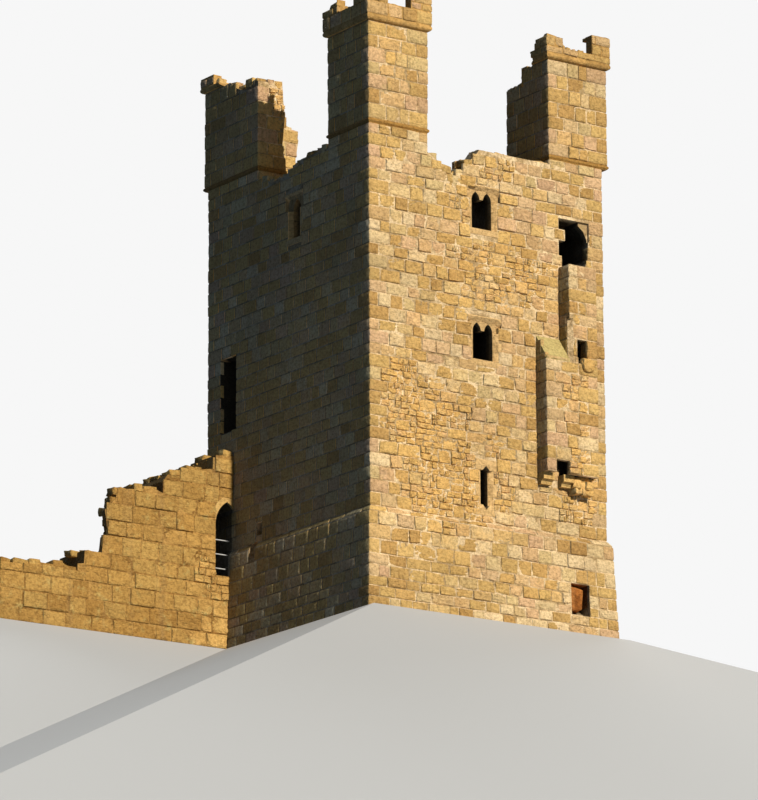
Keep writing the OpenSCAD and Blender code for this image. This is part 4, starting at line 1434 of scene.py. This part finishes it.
def layBrokenEnd(pile, sizes):
    front, rear = (Vector((*curtainBreak[key], 0)) for key in ("front", "rear"))
    lowest, highest = curtainBreak["levels"]
    nearY, farY = curtainLow.y - brokenEnd["over"], curtainHigh.y + brokenEnd["over"]
    outward = Vector((front.y - rear.y, rear.x - front.x, 0)).normalized()
    for level in np.arange(lowest + brokenEnd["foot"], highest, brokenEnd["rise"]):
        for share in np.arange(*brokenEnd["shares"]):
            spot = front.lerp(rear, share + eitherWay(brokenEnd["sway"])) + Vector((0, 0, level))
            hit = tree.ray_cast(spot + outward * brokenEnd["cast"], -outward, 1.0)[0]
            if hit is None:
                continue
            master, shape = looseBlock(sizes)
            fallen = (level - lowest) / (highest - lowest)
            sink = dice.uniform(*brokenEnd["sink"]) + brokenEnd["lean"] * fallen
            at = hit - outward * (sink - brokenEnd["proud"])
            at.y = min(max(at.y, nearY - shape[:, 1].min()), farY - shape[:, 1].max())
            pile.add(master, shape + np.array(at))


layBrokenEnd(curtainRubble, endBlocks)
curtainRubble.join(curtainLook)

gapStones = StonePile("parapetGapStones")
breakTop(gapStones, -1.75, -0.95, -half, -4.15, 14.0, 0.19, gapBlocks)
gapStones.join(stoneLook)
report("ruined tops laid")


# Camera, lamps and stage

camera = {
    "at": (-98.687, -139.140, -36.019),
    "yaw": 35.066,
    "pitch": 14.535,
    "roll": -0.268,
    "lens": 247.5,
    "sensor": 36,
}


def setCamera():
    yaw, pitch, roll = (math.radians(camera[key]) for key in ("yaw", "pitch", "roll"))
    flat = math.cos(pitch)
    ahead = Vector((math.sin(yaw) * flat, math.cos(yaw) * flat, math.sin(pitch)))
    level = Vector((math.cos(yaw), -math.sin(yaw), 0))
    upright = level.cross(ahead)
    across = level * math.cos(roll) + upright * math.sin(roll)
    over = upright * math.cos(roll) - level * math.sin(roll)
    bpy.ops.object.camera_add(location=camera["at"])
    eye = bpy.context.object
    turn = Matrix((across, over, -ahead)).transposed()
    eye.matrix_world = Matrix.Translation(camera["at"]) @ turn.to_4x4()
    eye.data.lens = camera["lens"]
    eye.data.sensor_width = camera["sensor"]
    eye.data.clip_end = 2000
    bpy.context.scene.camera = eye


setCamera()

# The key is the low sun on the front, the fill softly lights the sides behind it
lamps = {
    "key": {
        "side": 0.8,
        "height": 26.0,
        "size": 1.0,
        "power": 4.25,
        "colour": (1.0, 0.947, 0.865),
    },
    "fill": {
        "side": 140.0,
        "height": 32.0,
        "size": 30.0,
        "power": 1.2,
        "colour": (0.92, 0.96, 1.0),
    },
}
sky = {
    "colour": (0.50, 0.74, 1.0),
    "strength": 0.12,
    "backdrop": (0.93, 0.93, 0.93),
}


def setLamp(name, lamp):
    side, lift = math.radians(lamp["side"]), math.radians(lamp["height"])
    flat = math.cos(lift)
    toLamp = Vector((math.sin(side) * flat, -math.cos(side) * flat, math.sin(lift)))
    bpy.ops.object.light_add(type="SUN", location=toLamp * 60)
    sun = bpy.context.object
    sun.name = name + "Lamp"
    sun.rotation_mode = "QUATERNION"
    sun.rotation_quaternion = toLamp.to_track_quat("Z", "Y")
    sun.data.energy = lamp["power"]
    sun.data.color = lamp["colour"]
    sun.data.angle = math.radians(lamp["size"])


def setWorld():
    # a pale backdrop to the eye, and a soft bluish sky on the object
    world = bpy.data.worlds.new("studio")
    bpy.context.scene.world = world
    world.use_nodes = True
    tree = world.node_tree
    tree.nodes.clear()
    rays = addNode(tree, "LightPath").outputs
    seen = sums(tree, "MAXIMUM", rays["Is Camera Ray"], rays["Is Glossy Ray"])
    seen = sums(tree, "MAXIMUM", seen, rays["Is Transmission Ray"])
    soft = addNode(tree, "Background", {"Color": sky["colour"], "Strength": sky["strength"]})
    pale = addNode(tree, "Background", {"Color": sky["backdrop"], "Strength": 1.0})
    choose = addNode(tree, "MixShader", {"Fac": seen, 1: soft.outputs[0], 2: pale.outputs[0]})
    addNode(tree, "OutputWorld", {"Surface": choose.outputs[0]})


for name, lamp in lamps.items():
    setLamp(name, lamp)
setWorld()
bpy.context.scene.view_settings.view_transform = "Standard"

stage = {
    "rim": 0.12,
    "drop": 0.42,
    "reach": 200.0,
    "top": -0.002,
    "lower": 0.004,
    "colour": (0.46, 0.46, 0.45),
    "thrown": (0.20, 0.25, 0.32),
}


def makeMounds(plans):
    # pale mounds whose flat tops are the building's own plan, falling away all round
    material, tree, place, shader = newMaterial("paleFloor")
    # the floor is pale to the eye, and throws little light back at the walls, as turf does
    toEye = addNode(tree, "LightPath").outputs["Is Camera Ray"]
    tone = mix(tree, "MIX", toEye, stage["thrown"], stage["colour"])
    connect(tree, shader, {"Base Color": tone, "Roughness": 0.95})
    reach = stage["reach"]
    height = stage["drop"] * reach
    for number, (x0, x1, y0, y1) in enumerate(plans):
        wide = x1 - x0 + 2 * stage["rim"]
        deep = y1 - y0 + 2 * stage["rim"]
        middle = ((x0 + x1) / 2, (y0 + y1) / 2)
        top = stage["top"] - stage["lower"] * number
        mound = freshCube((wide, deep, height), (*middle, top - height / 2))
        editSelected(mound, lambda face: face.normal.z < -0.9)
        spread = ((wide + 2 * reach) / wide, (deep + 2 * reach) / deep, 1)
        bpy.ops.transform.resize(value=spread, center_override=(*middle, top - height))
        bpy.ops.object.mode_set(mode="OBJECT")
        mound.data.materials.append(material)
        mound.name = "paleMound%d" % number


keepOut = half + plinthFootOut
makeMounds([
    (-keepOut, keepOut, shaftLow[0].y, keepOut),
    (remainsLow.x, -half, curtainLow.y, keepOut),
])
report("stage set")
